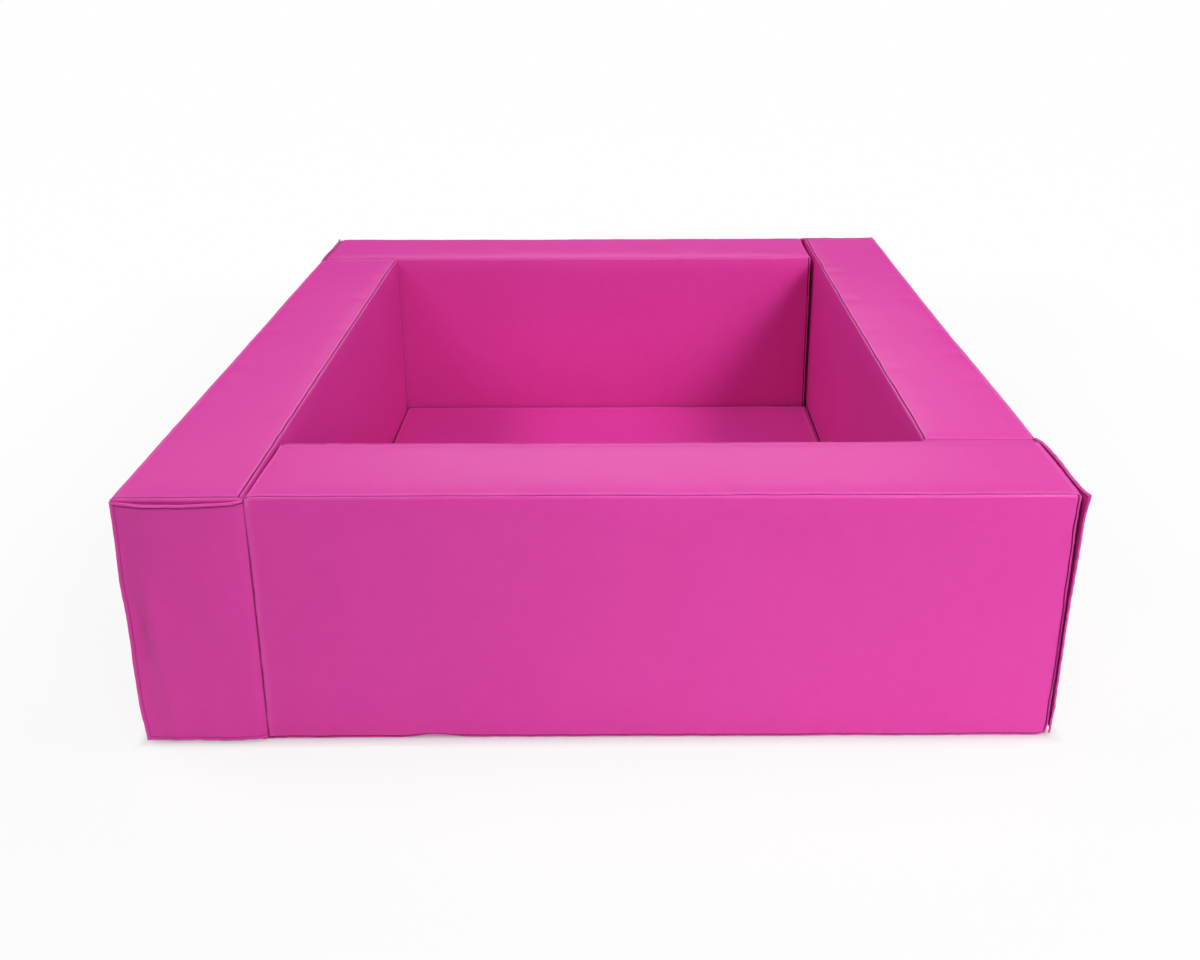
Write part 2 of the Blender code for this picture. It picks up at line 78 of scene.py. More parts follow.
LOG = logging.getLogger("ball_pit")
MM = 0.001
TINY = 1e-6
ALIGNED = 0.9
SETTLE_FRAMES = 18
WHITE = (1.0, 1.0, 1.0, 1.0)
AXES = (Vector((1, 0, 0)), Vector((0, 1, 0)), Vector((0, 0, 1)))
Colour = tuple[float, float, float]


class Side(Enum):
    """The four walls, in the order in which the front one is turned to make them."""

    FRONT = 0
    RIGHT = 1
    BACK = 2
    LEFT = 3

    @property
    def word(self) -> str:
        """The wall's name in lower case."""
        return self.name.lower()

    @property
    def turn(self) -> Matrix:
        """The turn about the pit's middle that takes the front wall to this one."""
        return Matrix.Rotation(self.value * math.pi / 2, 4, "Z")

    @property
    def body(self) -> str:
        """The CAD body of the block."""
        return f"{self.word}_wall"

    @property
    def flap_body(self) -> str:
        """The CAD body of the flap."""
        return f"{self.word}_flap"

    def node(self, part: str) -> str:
        """The CAD node of one of the wall's parts."""
        return f"{self.word}_wall_{part}"


class Slot(Enum):
    """The record's material slots."""

    VINYL = "vinyl"
    FOAM = "foam"
    HOOK = "hook_tape"
    LOOP = "loop_tape"
    ZIP_TAPE = "zip_tape"
    METAL = "slider_metal"


class Edge(Enum):
    """An edge of a block's top, for its seam: none, the pit's outside, or the end that shows."""

    NONE = 0
    OUTER = 1
    END = 2


# ---------------------------------------------------------------------------------------------- finishes


class Shade:
    """An output in a material's node tree, on which Python's arithmetic adds Math nodes."""

    def __init__(self, recipe: "Recipe", socket: bpy.types.NodeSocket) -> None:
        """Keeps the socket and the recipe that it belongs to."""
        self.recipe = recipe
        self.socket = socket

    def _with(self, operation: str, other: "Shade | float", swapped: bool = False) -> "Shade":
        """Adds one Math node.

        Args:
            operation: The Math node's operation.
            other: The other value.
            swapped: True if the other value comes first.

        Returns:
            The node's result.
        """
        first, second = (other, self) if swapped else (self, other)
        return self.recipe.node("ShaderNodeMath", {"operation": operation}, {0: first, 1: second})

    def __add__(self, other: "Shade | float") -> "Shade":
        """This plus the other."""
        return self._with("ADD", other)

    def __radd__(self, other: float) -> "Shade":
        """The other plus this."""
        return self._with("ADD", other, True)

    def __sub__(self, other: "Shade | float") -> "Shade":
        """This less the other."""
        return self._with("SUBTRACT", other)

    def __rsub__(self, other: float) -> "Shade":
        """The other less this."""
        return self._with("SUBTRACT", other, True)

    def __mul__(self, other: "Shade | float") -> "Shade":
        """This times the other."""
        return self._with("MULTIPLY", other)

    def __rmul__(self, other: float) -> "Shade":
        """The other times this."""
        return self._with("MULTIPLY", other, True)

    def maximum(self, other: "Shade | float") -> "Shade":
        """The greater of this and the other."""
        return self._with("MAXIMUM", other)

    def absolute(self) -> "Shade":
        """This without its sign."""
        return self._with("ABSOLUTE", 0.0)

    def limited(self) -> "Shade":
        """This kept from 0 to 1."""
        return self.recipe.node("ShaderNodeClamp", {}, {0: self})


class Recipe:
    """The node tree of a material or of the sky, built from Python expressions."""

    def __init__(self, name: str, sky: bool = False) -> None:
        """Starts a material, or a sky, with nothing but its output.

        Args:
            name: Its name.
            sky: True for a sky.
        """
        self.owner = bpy.data.worlds.new(name) if sky else bpy.data.materials.new(name)
        self.owner.use_nodes = True
        self.tree = self.owner.node_tree
        self.tree.nodes.clear()
        self.output = self.tree.nodes.new("ShaderNodeOutputWorld" if sky else "ShaderNodeOutputMaterial")

    def node(
        self,
        kind: str,
        settings: Mapping[str, Any] | None = None,
        inputs: Mapping[str | int, Any] | None = None,
        output: str | int = 0,
    ) -> Shade:
        """Adds any node.

        Args:
            kind: The node's type.
            settings: Its own settings.
            inputs: Values or links of its sockets, by name or number.
            output: The output to hand back.

        Returns:
            That output.
        """
        made = self.tree.nodes.new(kind)
        for name, value in (settings or {}).items():
            setattr(made, name, value)
        for key, value in (inputs or {}).items():
            if isinstance(value, Shade):
                self.tree.links.new(value.socket, made.inputs[key])
            else:
                made.inputs[key].default_value = value
        return Shade(self, made.outputs[output])

    def place(self) -> Shade:
        """The point on the piece, in metres."""
        return self.node("ShaderNodeTexCoord", output="Object")

    def attribute(self, name: str) -> Shade:
        """A number that the piece's mesh carries."""
        return self.node("ShaderNodeAttribute", {"attribute_name": name}, output="Fac")

    def noise(self, where: Shade, scale: float, detail: float = 2.0) -> Shade:
        """Soft noise about 0.5, with scale in features to the metre."""
        return self.node("ShaderNodeTexNoise", {}, {"Vector": where, "Scale": scale, "Detail": detail})

    def cells(self, where: Shade, scale: float, feature: str = "F1") -> Shade:
        """Distances within random cells, with scale in cells to the metre."""
        return self.node("ShaderNodeTexVoronoi", {"feature": feature}, {"Vector": where, "Scale": scale})

    def wave(self, where: Shade, scale: float, direction: str) -> Shade:
        """Even bands across a direction."""
        return self.node("ShaderNodeTexWave", {"bands_direction": direction}, {"Vector": where, "Scale": scale})

    def stretched(self, where: Shade, scale: tuple[float, float, float]) -> Shade:
        """The place with its axes scaled."""
        return self.node("ShaderNodeMapping", {}, {"Vector": where, "Scale": scale})

    def mix(self, factor: Shade | float, first: Any, second: Any) -> Shade:
        """A colour between two others."""
        first, second = ((*c, 1) if isinstance(c, tuple) else c for c in (first, second))
        return self.node("ShaderNodeMix", {"data_type": "RGBA"}, {0: factor, 6: first, 7: second}, output=2)

    def bump(self, height: Shade, distance: float, strength: float = 1.0, under: Shade | None = None) -> Shade:
        """A bump whose height of 1 stands for a distance in metres, on top of another if one is given."""
        inputs = {"Height": height, "Distance": distance, "Strength": strength}
        return self.node("ShaderNodeBump", {}, inputs if under is None else {**inputs, "Normal": under})

    def surface(self, shader: Shade) -> bpy.types.Material | bpy.types.World:
        """Ends the recipe with a shader and hands back what it belongs to."""
        self.tree.links.new(shader.socket, self.output.inputs["Surface"])
        return self.owner

    def principled(self, inputs: Mapping[str, Any]) -> bpy.types.Material:
        """Ends the recipe with a Principled shader that has these inputs."""
        return self.surface(self.node("ShaderNodeBsdfPrincipled", {}, inputs))


@dataclass(frozen=True)
class Finish:
    """What every finish has: a name and the record's slot that it stands for."""

    name: str
    slot: Slot

    def build(self) -> bpy.types.Material:
        """The finish as a material."""
        raise NotImplementedError


@dataclass(frozen=True)
class SatinVinyl(Finish):
    """Coated PVC: an even, slightly cloudy pink with a fine grain and a satin coat, matt at grazing angles, with
    painted shade in the bottom of its seams and, on the seams' lips, a lighter pink that is partly rubbed wear and
    partly painted highlight.
    """

    name: str = "satin_vinyl"
    slot: Slot = Slot.VINYL
    deep: Colour = (0.640, 0.041, 0.332)
    light: Colour = (0.712, 0.058, 0.378)
    # Painted shade: a near-black pink laid into the bottom of each seam.
    crease: Colour = (0.070, 0.004, 0.034)
    # Partly rubbed wear and partly painted highlight: a paler, whiter pink laid on the seams' lips.
    rubbed: Colour = (0.800, 0.130, 0.480)
    roughness: float = 0.55
    sheen: float = 0.02
    coat: float = 0.34
    coat_roughness: float = 0.36
    matt_from: float = 0.56
    matt_over: float = 0.16
    clouds_per_metre: float = 3.2
    clouding: float = 0.8
    mottles_per_metre: float = 46.0
    mottling: float = 0.5
    pore_tone: float = 0.12
    crease_cover: float = 0.92
    crease_matt: float = 0.6
    rub_least: float = 0.25
    rub_mottle: float = 0.6
    grain_per_metre: float = 1050.0
    grain_depth: float = 0.07 * MM
    grain_strength: float = 0.55
    creep_per_metre: float = 70.0
    creep_depth: float = 0.5 * MM
    creep_strength: float = 0.22

    def build(self) -> bpy.types.Material:
        """The vinyl as a material."""
        recipe = Recipe(self.name)
        place = recipe.place()
        clouds = recipe.noise(place, self.clouds_per_metre, 3.0)
        mottle = recipe.noise(place, self.mottles_per_metre, 3.0)
        pores = recipe.cells(place, self.grain_per_metre, "SMOOTH_F1")
        fine = recipe.noise(place, 2.3 * self.grain_per_metre, 1.0)
        creep = recipe.noise(place, self.creep_per_metre, 2.0)
        seam = recipe.attribute("seam")
        rub = recipe.attribute("rub")
        facing = recipe.node("ShaderNodeLayerWeight", {}, {"Blend": 0.5}, output="Facing")

        tone = (clouds - 0.5) * self.clouding + (mottle - 0.5) * self.mottling + (pores - 0.4) * self.pore_tone + 0.5
        colour = recipe.mix(tone.limited(), self.deep, self.light)
        # Partly rubbed wear and partly painted highlight on the seams' lips, mottled.
        colour = recipe.mix((rub * (self.rub_least + mottle * self.rub_mottle)).limited(), colour, self.rubbed)
        # Painted shade in the bottom of each seam.
        colour = recipe.mix((seam * self.crease_cover).limited(), colour, self.crease)
        roughness = self.roughness + (mottle - 0.5) * 0.10 + (clouds - 0.5) * 0.06 - rub * 0.05 + seam * 0.15
        grain = recipe.bump(pores * 0.7 + fine * 0.3, self.grain_depth, self.grain_strength)
        coat = (1 - (facing - self.matt_from) * (1 / self.matt_over)).limited() * (1 - seam * self.crease_matt)
        return recipe.principled(
            {
                "Base Color": colour,
                "Roughness": roughness.limited(),
                "Normal": recipe.bump(creep, self.creep_depth, self.creep_strength, grain),
                "Specular IOR Level": self.sheen,
                "Coat Weight": (coat * self.coat).limited(),
                "Coat Roughness": self.coat_roughness,
            }
        )


@dataclass(frozen=True)
class SewingThread(Finish):
    """Bonded polyester thread, two plies twisted, in the vinyl's colour, with painted shade in the hollows between
    the plies.
    """

    name: str = "sewing_thread"
    slot: Slot = Slot.VINYL
    colour: Colour = (0.560, 0.026, 0.270)
    # Painted shade between the plies.
    hollow: Colour = (0.260, 0.012, 0.120)
    ply_scale: float = 233.333
    fuzz_per_metre: float = 3000.0
    depth: float = 0.12 * MM

    def build(self) -> bpy.types.Material:
        """The thread as a material."""
        recipe = Recipe(self.name)
        place = recipe.place()
        aside = recipe.stretched(place, (0, 1, 1))
        wound = recipe.node("ShaderNodeVectorMath", {"operation": "ADD"}, {0: place, 1: aside})
        ply = recipe.wave(wound, self.ply_scale, "DIAGONAL")
        fuzz = recipe.noise(place, self.fuzz_per_metre, 2.0)
        return recipe.principled(
            {
                "Base Color": recipe.mix((ply * 0.7 + fuzz * 0.3).limited(), self.hollow, self.colour),
                "Roughness": (0.5 + fuzz * 0.3).limited(),
                "Normal": recipe.bump(ply, self.depth, 0.6),
            }
        )


@dataclass(frozen=True)
class OpenFoam(Finish):
    """Cream polyurethane foam with open cells, a little yellowed."""

    name: str = "open_foam"
    slot: Slot = Slot.FOAM
    pale: Colour = (0.82, 0.77, 0.60)
    aged: Colour = (0.72, 0.60, 0.36)
    cells_per_metre: float = 620.0
    patches_per_metre: float = 9.0
    depth: float = 0.8 * MM

    def build(self) -> bpy.types.Material:
        """The foam as a material."""
        recipe = Recipe(self.name)
        place = recipe.place()
        cells = recipe.cells(place, self.cells_per_metre)
        patches = recipe.noise(place, self.patches_per_metre, 4.0)
        tone = ((patches - 0.35) * 1.6 + (0.5 - cells) * 0.3).limited()
        return recipe.principled(
            {
                "Base Color": recipe.mix(tone, self.pale, self.aged),
                "Roughness": (0.88 + cells * 0.1).limited(),
                "Normal": recipe.bump(cells, self.depth, 0.8),
            }
        )


@dataclass(frozen=True)
class TapeWeave(Finish):
    """Woven tape, whose threads cross in even waves, with painted shade in the hollows between them."""

    name: str = "zip_weave"
    slot: Slot = Slot.ZIP_TAPE
    thread: Colour = (0.600, 0.035, 0.285)
    # Painted shade in the hollows of the weave.
    hollow: Colour = (0.240, 0.012, 0.110)
    wave_scale: float = 65.0
    hairs_per_metre: float = 2600.0
    roughness: float = 0.78
    depth: float = 0.25 * MM

    def build(self) -> bpy.types.Material:
        """The tape as a material."""
        recipe = Recipe(self.name)
        place = recipe.place()
        warp, weft, rise = (recipe.wave(place, self.wave_scale, direction) for direction in "YXZ")
        hair = recipe.noise(place, self.hairs_per_metre, 2.0)
        weave = (warp * 0.45 + weft * 0.45 + rise * 0.35 + hair * 0.25).limited()
        return recipe.principled(
            {
                "Base Color": recipe.mix(weave, self.hollow, self.thread),
                "Roughness": (self.roughness + hair * 0.15).limited(),
                "Normal": recipe.bump(weave, self.depth, 0.8),
            }
        )


@dataclass(frozen=True)
class LoopPile(Finish):
    """The napped side of the hook-and-loop closure, darker towards the roots of its loops with painted shade."""

    name: str = "loop_pile"
    slot: Slot = Slot.LOOP
    tip: Colour = (0.640, 0.055, 0.320)
    # Painted shade towards the roots of the loops.
    root: Colour = (0.260, 0.012, 0.120)
    loops_per_metre: float = 900.0
    swirls_per_metre: float = 420.0
    depth: float = 0.7 * MM

    def build(self) -> bpy.types.Material:
        """The pile as a material."""
        recipe = Recipe(self.name)
        place = recipe.place()
        curls = recipe.cells(place, self.loops_per_metre, "F2")
        swirl = recipe.noise(place, self.swirls_per_metre, 4.0)
        nap = (curls * 0.7 + swirl * 0.5 - 0.1).limited()
        return recipe.principled(
            {
                "Base Color": recipe.mix(nap, self.root, self.tip),
                "Roughness": (0.85 + nap * 0.12).limited(),
                "Normal": recipe.bump(nap, self.depth),
                "Sheen Weight": 0.3,
                "Sheen Roughness": 0.5,
            }
        )


@dataclass(frozen=True)
class HookPlastic(Finish):
    """The hooked side: nylon hooks on a stiff woven ground, with painted shade in the dips of the weave."""

    name: str = "hook_nylon"
    slot: Slot = Slot.HOOK
    clear: Colour = (0.560, 0.045, 0.270)
    # Painted shade in the dips of the ground's weave.
    ground: Colour = (0.330, 0.016, 0.150)
    wave_scale: float = 330.0
    hairs_per_metre: float = 1900.0
    depth: float = 0.2 * MM

    def build(self) -> bpy.types.Material:
        """The hooks and their ground as a material."""
        recipe = Recipe(self.name)
        place = recipe.place()
        weave, cross = (recipe.wave(place, self.wave_scale, direction) for direction in "ZX")
        hair = recipe.noise(place, self.hairs_per_metre, 2.0)
        ground = (weave * 0.5 + cross * 0.5).limited()
        return recipe.principled(
            {
                "Base Color": recipe.mix((ground * 0.6 + hair * 0.5).limited(), self.ground, self.clear),
                "Roughness": (0.42 + hair * 0.25).limited(),
                "Normal": recipe.bump(ground, self.depth, 0.6),
            }
        )


@dataclass(frozen=True)
class CastNickel(Finish):
    """Tumbled nickel plate on a die-cast slider: dull in some patches, rubbed bright in others."""

    name: str = "cast_nickel"
    slot: Slot = Slot.METAL
    bright: Colour = (0.72, 0.71, 0.68)
    dull: Colour = (0.46, 0.45, 0.42)
    patches_per_metre: float = 260.0
    scratches: tuple[float, float, float] = (300.0, 4000.0, 4000.0)
    depth: float = 0.04 * MM

    def build(self) -> bpy.types.Material:
        """The metal as a material."""
        recipe = Recipe(self.name)
        place = recipe.place()
        patches = recipe.noise(place, self.patches_per_metre, 3.0)
        scratches = recipe.noise(recipe.stretched(place, self.scratches), 1.0, 2.0)
        return recipe.principled(
            {
                "Base Color": recipe.mix(patches, self.dull, self.bright),
                "Roughness": (0.26 + patches * 0.2 + (scratches - 0.5) * 0.2).limited(),
                "Metallic": 1.0,
                "Normal": recipe.bump(scratches, self.depth, 0.5),
            }
        )


@dataclass(frozen=True)
class StudioWhite:
    """The floor: white to the camera and in reflections, with enough of its own light left to keep a shadow."""

    name: str = "studio_white"
    paint: Colour = (0.86, 0.86, 0.86)
    specks_per_metre: float = 35.0
    speck_light: float = 1.02
    near_glow: float = 0.84
    far_glow: float = 0.995
    glow_reach: float = 1.1
    pit_half: float = 0.74
    fade: float = 0.03

    def build(self) -> bpy.types.Material:
        """The floor as a material."""
        recipe = Recipe(self.name)
        place = recipe.place()
        specks = recipe.noise(place, self.specks_per_metre, 3.0)
        paint = recipe.mix(specks, self.paint, tuple(self.speck_light * c for c in self.paint))
        painted = recipe.node("ShaderNodeBsdfDiffuse", {}, {"Color": paint})
        glowing = recipe.node("ShaderNodeEmission", {}, {"Color": WHITE, "Strength": 1.0})
        x, y = (recipe.node("ShaderNodeSeparateXYZ", {}, {0: place}, output=axis).absolute() for axis in "XY")
        outside = x.maximum(y) - self.pit_half
        far = (outside * (1 / self.glow_reach)).limited()
        glow = (outside * (1 / self.fade)).limited() * (self.near_glow + far * (self.far_glow - self.near_glow))
        return recipe.surface(
            recipe.node("ShaderNodeMixShader", {}, {0: seen_directly(recipe) * glow, 1: painted, 2: glowing})
        )


def seen_directly(recipe: Recipe) -> Shade:
    """Tells what the camera, a reflection or a see-through piece sees from what only lights the object.

    Args:
        recipe: The node tree that asks.

    Returns:
        1 for a ray that shows the thing and 0 for one that gathers light.
    """
    camera, glossy, through = (
        recipe.node("ShaderNodeLightPath", output=name)
        for name in ("Is Camera Ray", "Is Glossy Ray", "Is Transmission Ray")
    )
    return (camera + glossy + through).limited()


class FinishRack:
    """The finishes in use, each built once."""

    def __init__(self) -> None:
        """Starts with nothing built."""
        self._built: dict[str, bpy.types.Material] = {}

    def coat(self, piece: bpy.types.Object, finish: Finish | StudioWhite) -> None:
        """Gives a piece its finish.

        Args:
            piece: The piece or CAD node.
            finish: Its finish.
        """
        if finish.name not in self._built:
            self._built[finish.name] = finish.build()
        piece.data.materials.clear()
        piece.data.materials.append(self._built[finish.name])
        isinstance(finish, Finish) and "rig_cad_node" not in piece


VINYL = SatinVinyl()
THREAD = SewingThread()
FOAM = OpenFoam()
ZIP_WEAVE = TapeWeave()
LOOPS = LoopPile()
HOOKS = HookPlastic()
NICKEL = CastNickel()
RACK = FinishRack()


# ---------------------------------------------------------------------------------------------- the bench


class Bench:
    """The hand tools: primitives, edit-mode work and modifiers, one piece at a time."""

    @staticmethod
    def clear_hands() -> None:
        """Leaves nothing selected."""
        for obj in bpy.context.view_layer.objects:
            obj.select_set(False)

    @classmethod
    def take(cls, piece: bpy.types.Object) -> None:
        """Makes one piece the only selected and active one."""
        cls.clear_hands()
        piece.select_set(True)
        bpy.context.view_layer.objects.active = piece

    @classmethod
    def block(cls, name: str, size: Sequence[float], middle: Sequence[float]) -> bpy.types.Object:
        """A box at its size and place.

        Args:
            name: The piece's name.
            size: Its lengths along X, Y and Z.
            middle: Its middle.

        Returns:
            The piece, with its place in its mesh.
        """
        cls.clear_hands()
        bpy.ops.mesh.primitive_cube_add(size=1, location=middle)
        piece = bpy.context.active_object
        piece.scale = size
        bpy.ops.object.transform_apply(location=True, rotation=True, scale=True)
        piece.name = piece.data.name = name
        return piece

    @classmethod
    @contextmanager
    def editing(cls, piece: bpy.types.Object, mode: str = "EDGE") -> Iterator[None]:
        """Edit mode on one piece, with nothing selected to start with.

        Args:
            piece: The piece.
            mode: VERT, EDGE or FACE.

        Yields:
            Nothing: the caller works inside.
        """
        cls.take(piece)
        bpy.ops.object.mode_set(mode="EDIT")
        bpy.ops.mesh.select_mode(type=mode)
        bpy.ops.mesh.select_all(action="DESELECT")
        try:
            yield
        finally:
            bpy.ops.object.mode_set(mode="OBJECT")

    @staticmethod
    def pick_edges(piece: bpy.types.Object, test: Callable[[bmesh.types.BMEdge], bool]) -> None:
        """Selects the edges that pass a test, in edit mode."""
        bm = bmesh.from_edit_mesh(piece.data)
        for edge in bm.edges:
            edge.select_set(bool(test(edge)))
        bmesh.update_edit_mesh(piece.data)

    @staticmethod
    def pick_faces(piece: bpy.types.Object, test: Callable[[bmesh.types.BMFace], bool]) -> None:
        """Selects the faces that pass a test, in edit mode."""
        bm = bmesh.from_edit_mesh(piece.data)
        for face in bm.faces:
            face.select_set(bool(test(face)))
        bmesh.update_edit_mesh(piece.data)

    @staticmethod
    def runs_along(edge: bmesh.types.BMEdge, axis: Vector) -> bool:
        """True for an edge that runs along an axis."""
        return abs((edge.verts[1].co - edge.verts[0].co).normalized().dot(axis)) > ALIGNED

    @classmethod
    def divide(cls, piece: bpy.types.Object, tables: Sequence[Sequence[float]]) -> None:
        """Divides a box along each axis and sets its rows at the given places.

        Args:
            piece: A plain box.
            tables: The rows' places along X, Y and Z, from its lowest face to its highest.
        """
        for axis, table in zip(AXES, tables):
            if len(table) > 2:
                with cls.editing(piece):
                    cls.pick_edges(piece, lambda e: cls.runs_along(e, axis))
                    bpy.ops.mesh.subdivide(number_cuts=len(table) - 2)
        points = cls.points(piece)
        low, high = points.min(0), points.max(0)
        for i, table in enumerate(tables):
            steps = np.rint((points[:, i] - low[i]) / (high[i] - low[i]) * (len(table) - 1)).astype(int)
            points[:, i] = np.asarray(table)[steps]
        cls.place_points(piece, points)

    @staticmethod
    def points(piece: bpy.types.Object) -> np.ndarray:
        """The piece's points, one row each."""
        flat = np.empty(len(piece.data.vertices) * 3)
        piece.data.vertices.foreach_get("co", flat)
        return flat.reshape(-1, 3)

    @staticmethod
    def place_points(piece: bpy.types.Object, points: np.ndarray) -> None:
        """Moves the piece's points to the given rows."""
        piece.data.vertices.foreach_set("co", np.ascontiguousarray(points, dtype=np.float64).ravel())
        piece.data.update()

    @staticmethod
    def note(piece: bpy.types.Object, name: str, values: np.ndarray) -> None:
        """Writes a number for each point, for the piece's finish to read."""
        layer = piece.data.attributes.new(name, "FLOAT", "POINT")
        layer.data.foreach_set("value", values.astype(np.float32))

    @classmethod
    def finish_with(cls, piece: bpy.types.Object, kind: str, **settings: Any) -> None:
        """Adds a modifier and applies it.

        Args:
            piece: The piece.
            kind: The modifier's type.
            **settings: Its settings.
        """
        cls.take(piece)
        modifier = piece.modifiers.new(kind.lower(), kind)
        for name, value in settings.items():
            setattr(modifier, name, value)
        bpy.ops.object.modifier_apply(modifier=modifier.name)

    @classmethod
    def smooth(cls, piece: bpy.types.Object, degrees: float | None = None) -> None:
        """Shades the piece smooth, all over or only below an angle."""
        cls.take(piece)
        if degrees is None:
            bpy.ops.object.shade_smooth()
        else:
            bpy.ops.object.shade_smooth_by_angle(angle=math.radians(degrees))

    @classmethod
    def hand_over(
        cls, piece: bpy.types.Object, move: Matrix, finish: Finish, degrees: float | None = None
    ) -> bpy.types.Object:
        """Puts a shaped piece in its place, shades it smooth and coats it.

        Args:
            piece: The piece.
            move: From the frame that it was shaped in to where it stands.
            finish: Its finish.
            degrees: The angle below which it is smooth, or None for all over.

        Returns:
            The piece.
        """
        piece.data.transform(move)
        cls.smooth(piece, degrees)
        RACK.coat(piece, finish)
        return piece

    @staticmethod
    def copy(piece: bpy.types.Object, name: str) -> bpy.types.Object:
        """A copy with its own mesh.

        Args:
            piece: The piece to copy.
            name: The copy's name.

        Returns:
            The copy.
        """
        twin = piece.copy()
        twin.data = piece.data.copy()
        twin.name = twin.data.name = name
        bpy.context.scene.collection.objects.link(twin)
        return twin

    @classmethod
    def join(cls, pieces: Sequence[bpy.types.Object]) -> None:
        """Joins pieces into the first of them.

        Args:
            pieces: The pieces.
        """
        cls.take(pieces[0])
        for piece in pieces[1:]:
            piece.select_set(True)
        bpy.ops.object.join()

    @classmethod
    def stamp(cls, name: str, shape: bpy.types.Object, places: Sequence[Matrix] | np.ndarray) -> bpy.types.Object:
        """One mesh with a small shape at many places.

        Args:
            name: The new piece's name.
            shape: The small shape, which is used up.
            places: Where each copy goes.

        Returns:
            The new piece.
        """
        points = np.hstack([cls.points(shape), np.ones((len(shape.data.vertices), 1))])
        faces = [tuple(polygon.vertices) for polygon in shape.data.polygons]
        moved = np.einsum("nij,pj->npi", np.array(places, float)[:, :3], points)
        all_faces = [tuple(v + i * len(points) for v in face) for i in range(len(moved)) for face in faces]
        mesh = bpy.data.meshes.new(name)
        mesh.from_pydata(moved.reshape(-1, 3).tolist(), [], all_faces)
        mesh.update()
        piece = bpy.data.objects.new(name, mesh)
        bpy.context.scene.collection.objects.link(piece)
        bpy.data.objects.remove(shape)
        return piece


@dataclass(frozen=True)
class Waves:
    """Smooth uneven waves of an average height, the same each time for one seed."""

    seed: int
    shortest: float
    longest: float
    height: float
    count: int = 8

    def _draws(self) -> Iterator[tuple[float, float, Vector]]:
        """The waves one by one: their length, their start, and the way they run."""
        draw = random.Random(self.seed)
        for _ in range(self.count):
            length = self.shortest * (self.longest / self.shortest) ** draw.random()
            start = draw.uniform(0, 2 * math.pi)
            heading = Vector((draw.gauss(0, 1), draw.gauss(0, 1), draw.gauss(0, 1))).normalized()
            yield length, start, heading

    def along(self, places: np.ndarray) -> np.ndarray:
        """The waves' heights at places along a line."""
        total = sum(np.sin(2 * math.pi * places / length + start) for length, start, _ in self._draws())
        return self.height * math.sqrt(2 / self.count) * total

    def over(self, points: np.ndarray) -> np.ndarray:
        """The waves' heights at points in space."""
        total = sum(
            np.sin(2 * math.pi * (points @ np.array(heading)) / length + start)
            for length, start, heading in self._draws()
        )
        return self.height * math.sqrt(2 / self.count) * total


def bell(distance: np.ndarray | float, width: float) -> np.ndarray:
    """A bell curve of height 1."""
    return np.exp(-((distance / width) ** 2))


def swell(share: np.ndarray | float) -> np.ndarray:
    """A quarter of a wave, from 0 to 1 as the share goes from 0 to 1."""
    return np.sin(math.pi / 2 * np.clip(share, 0, 1))


def evenly(start: float, stop: float, step: float) -> np.ndarray:
    """Places from start to stop, about a step apart."""
    return np.linspace(start, stop, max(2, round((stop - start) / step) + 1))


def ease(share: np.ndarray | float) -> np.ndarray:
    """A soft step from 0 to 1 as the share goes from 0 to 1."""
    share = np.clip(share, 0, 1)
    return share * share * (3 - 2 * share)


@dataclass(frozen=True)
class Dent:
    """A place where the vinyl is pushed, in the block's own frame."""

    place: tuple[float, float, float]
    reach: tuple[float, float, float]
    push: tuple[float, float, float]

    def moved(self, points: np.ndarray) -> np.ndarray:
        """How far each point is pushed."""
        away = (points - np.array(self.place)) / np.array(self.reach)
        return np.exp(-(away**2).sum(1))[:, None] * np.array(self.push)


# ---------------------------------------------------------------------------------------------- padded blocks


FILLING = {
    "quality": 5,
    "mass": 0.4,
    "tension_stiffness": 30,
    "compression_stiffness": 30,
    "shear_stiffness": 12,
    "bending_stiffness": 4,
    "shrink_min": -0.004,
    "use_pressure": True,
    "uniform_pressure_force": 4,
    "vertex_group_mass": "held",
}


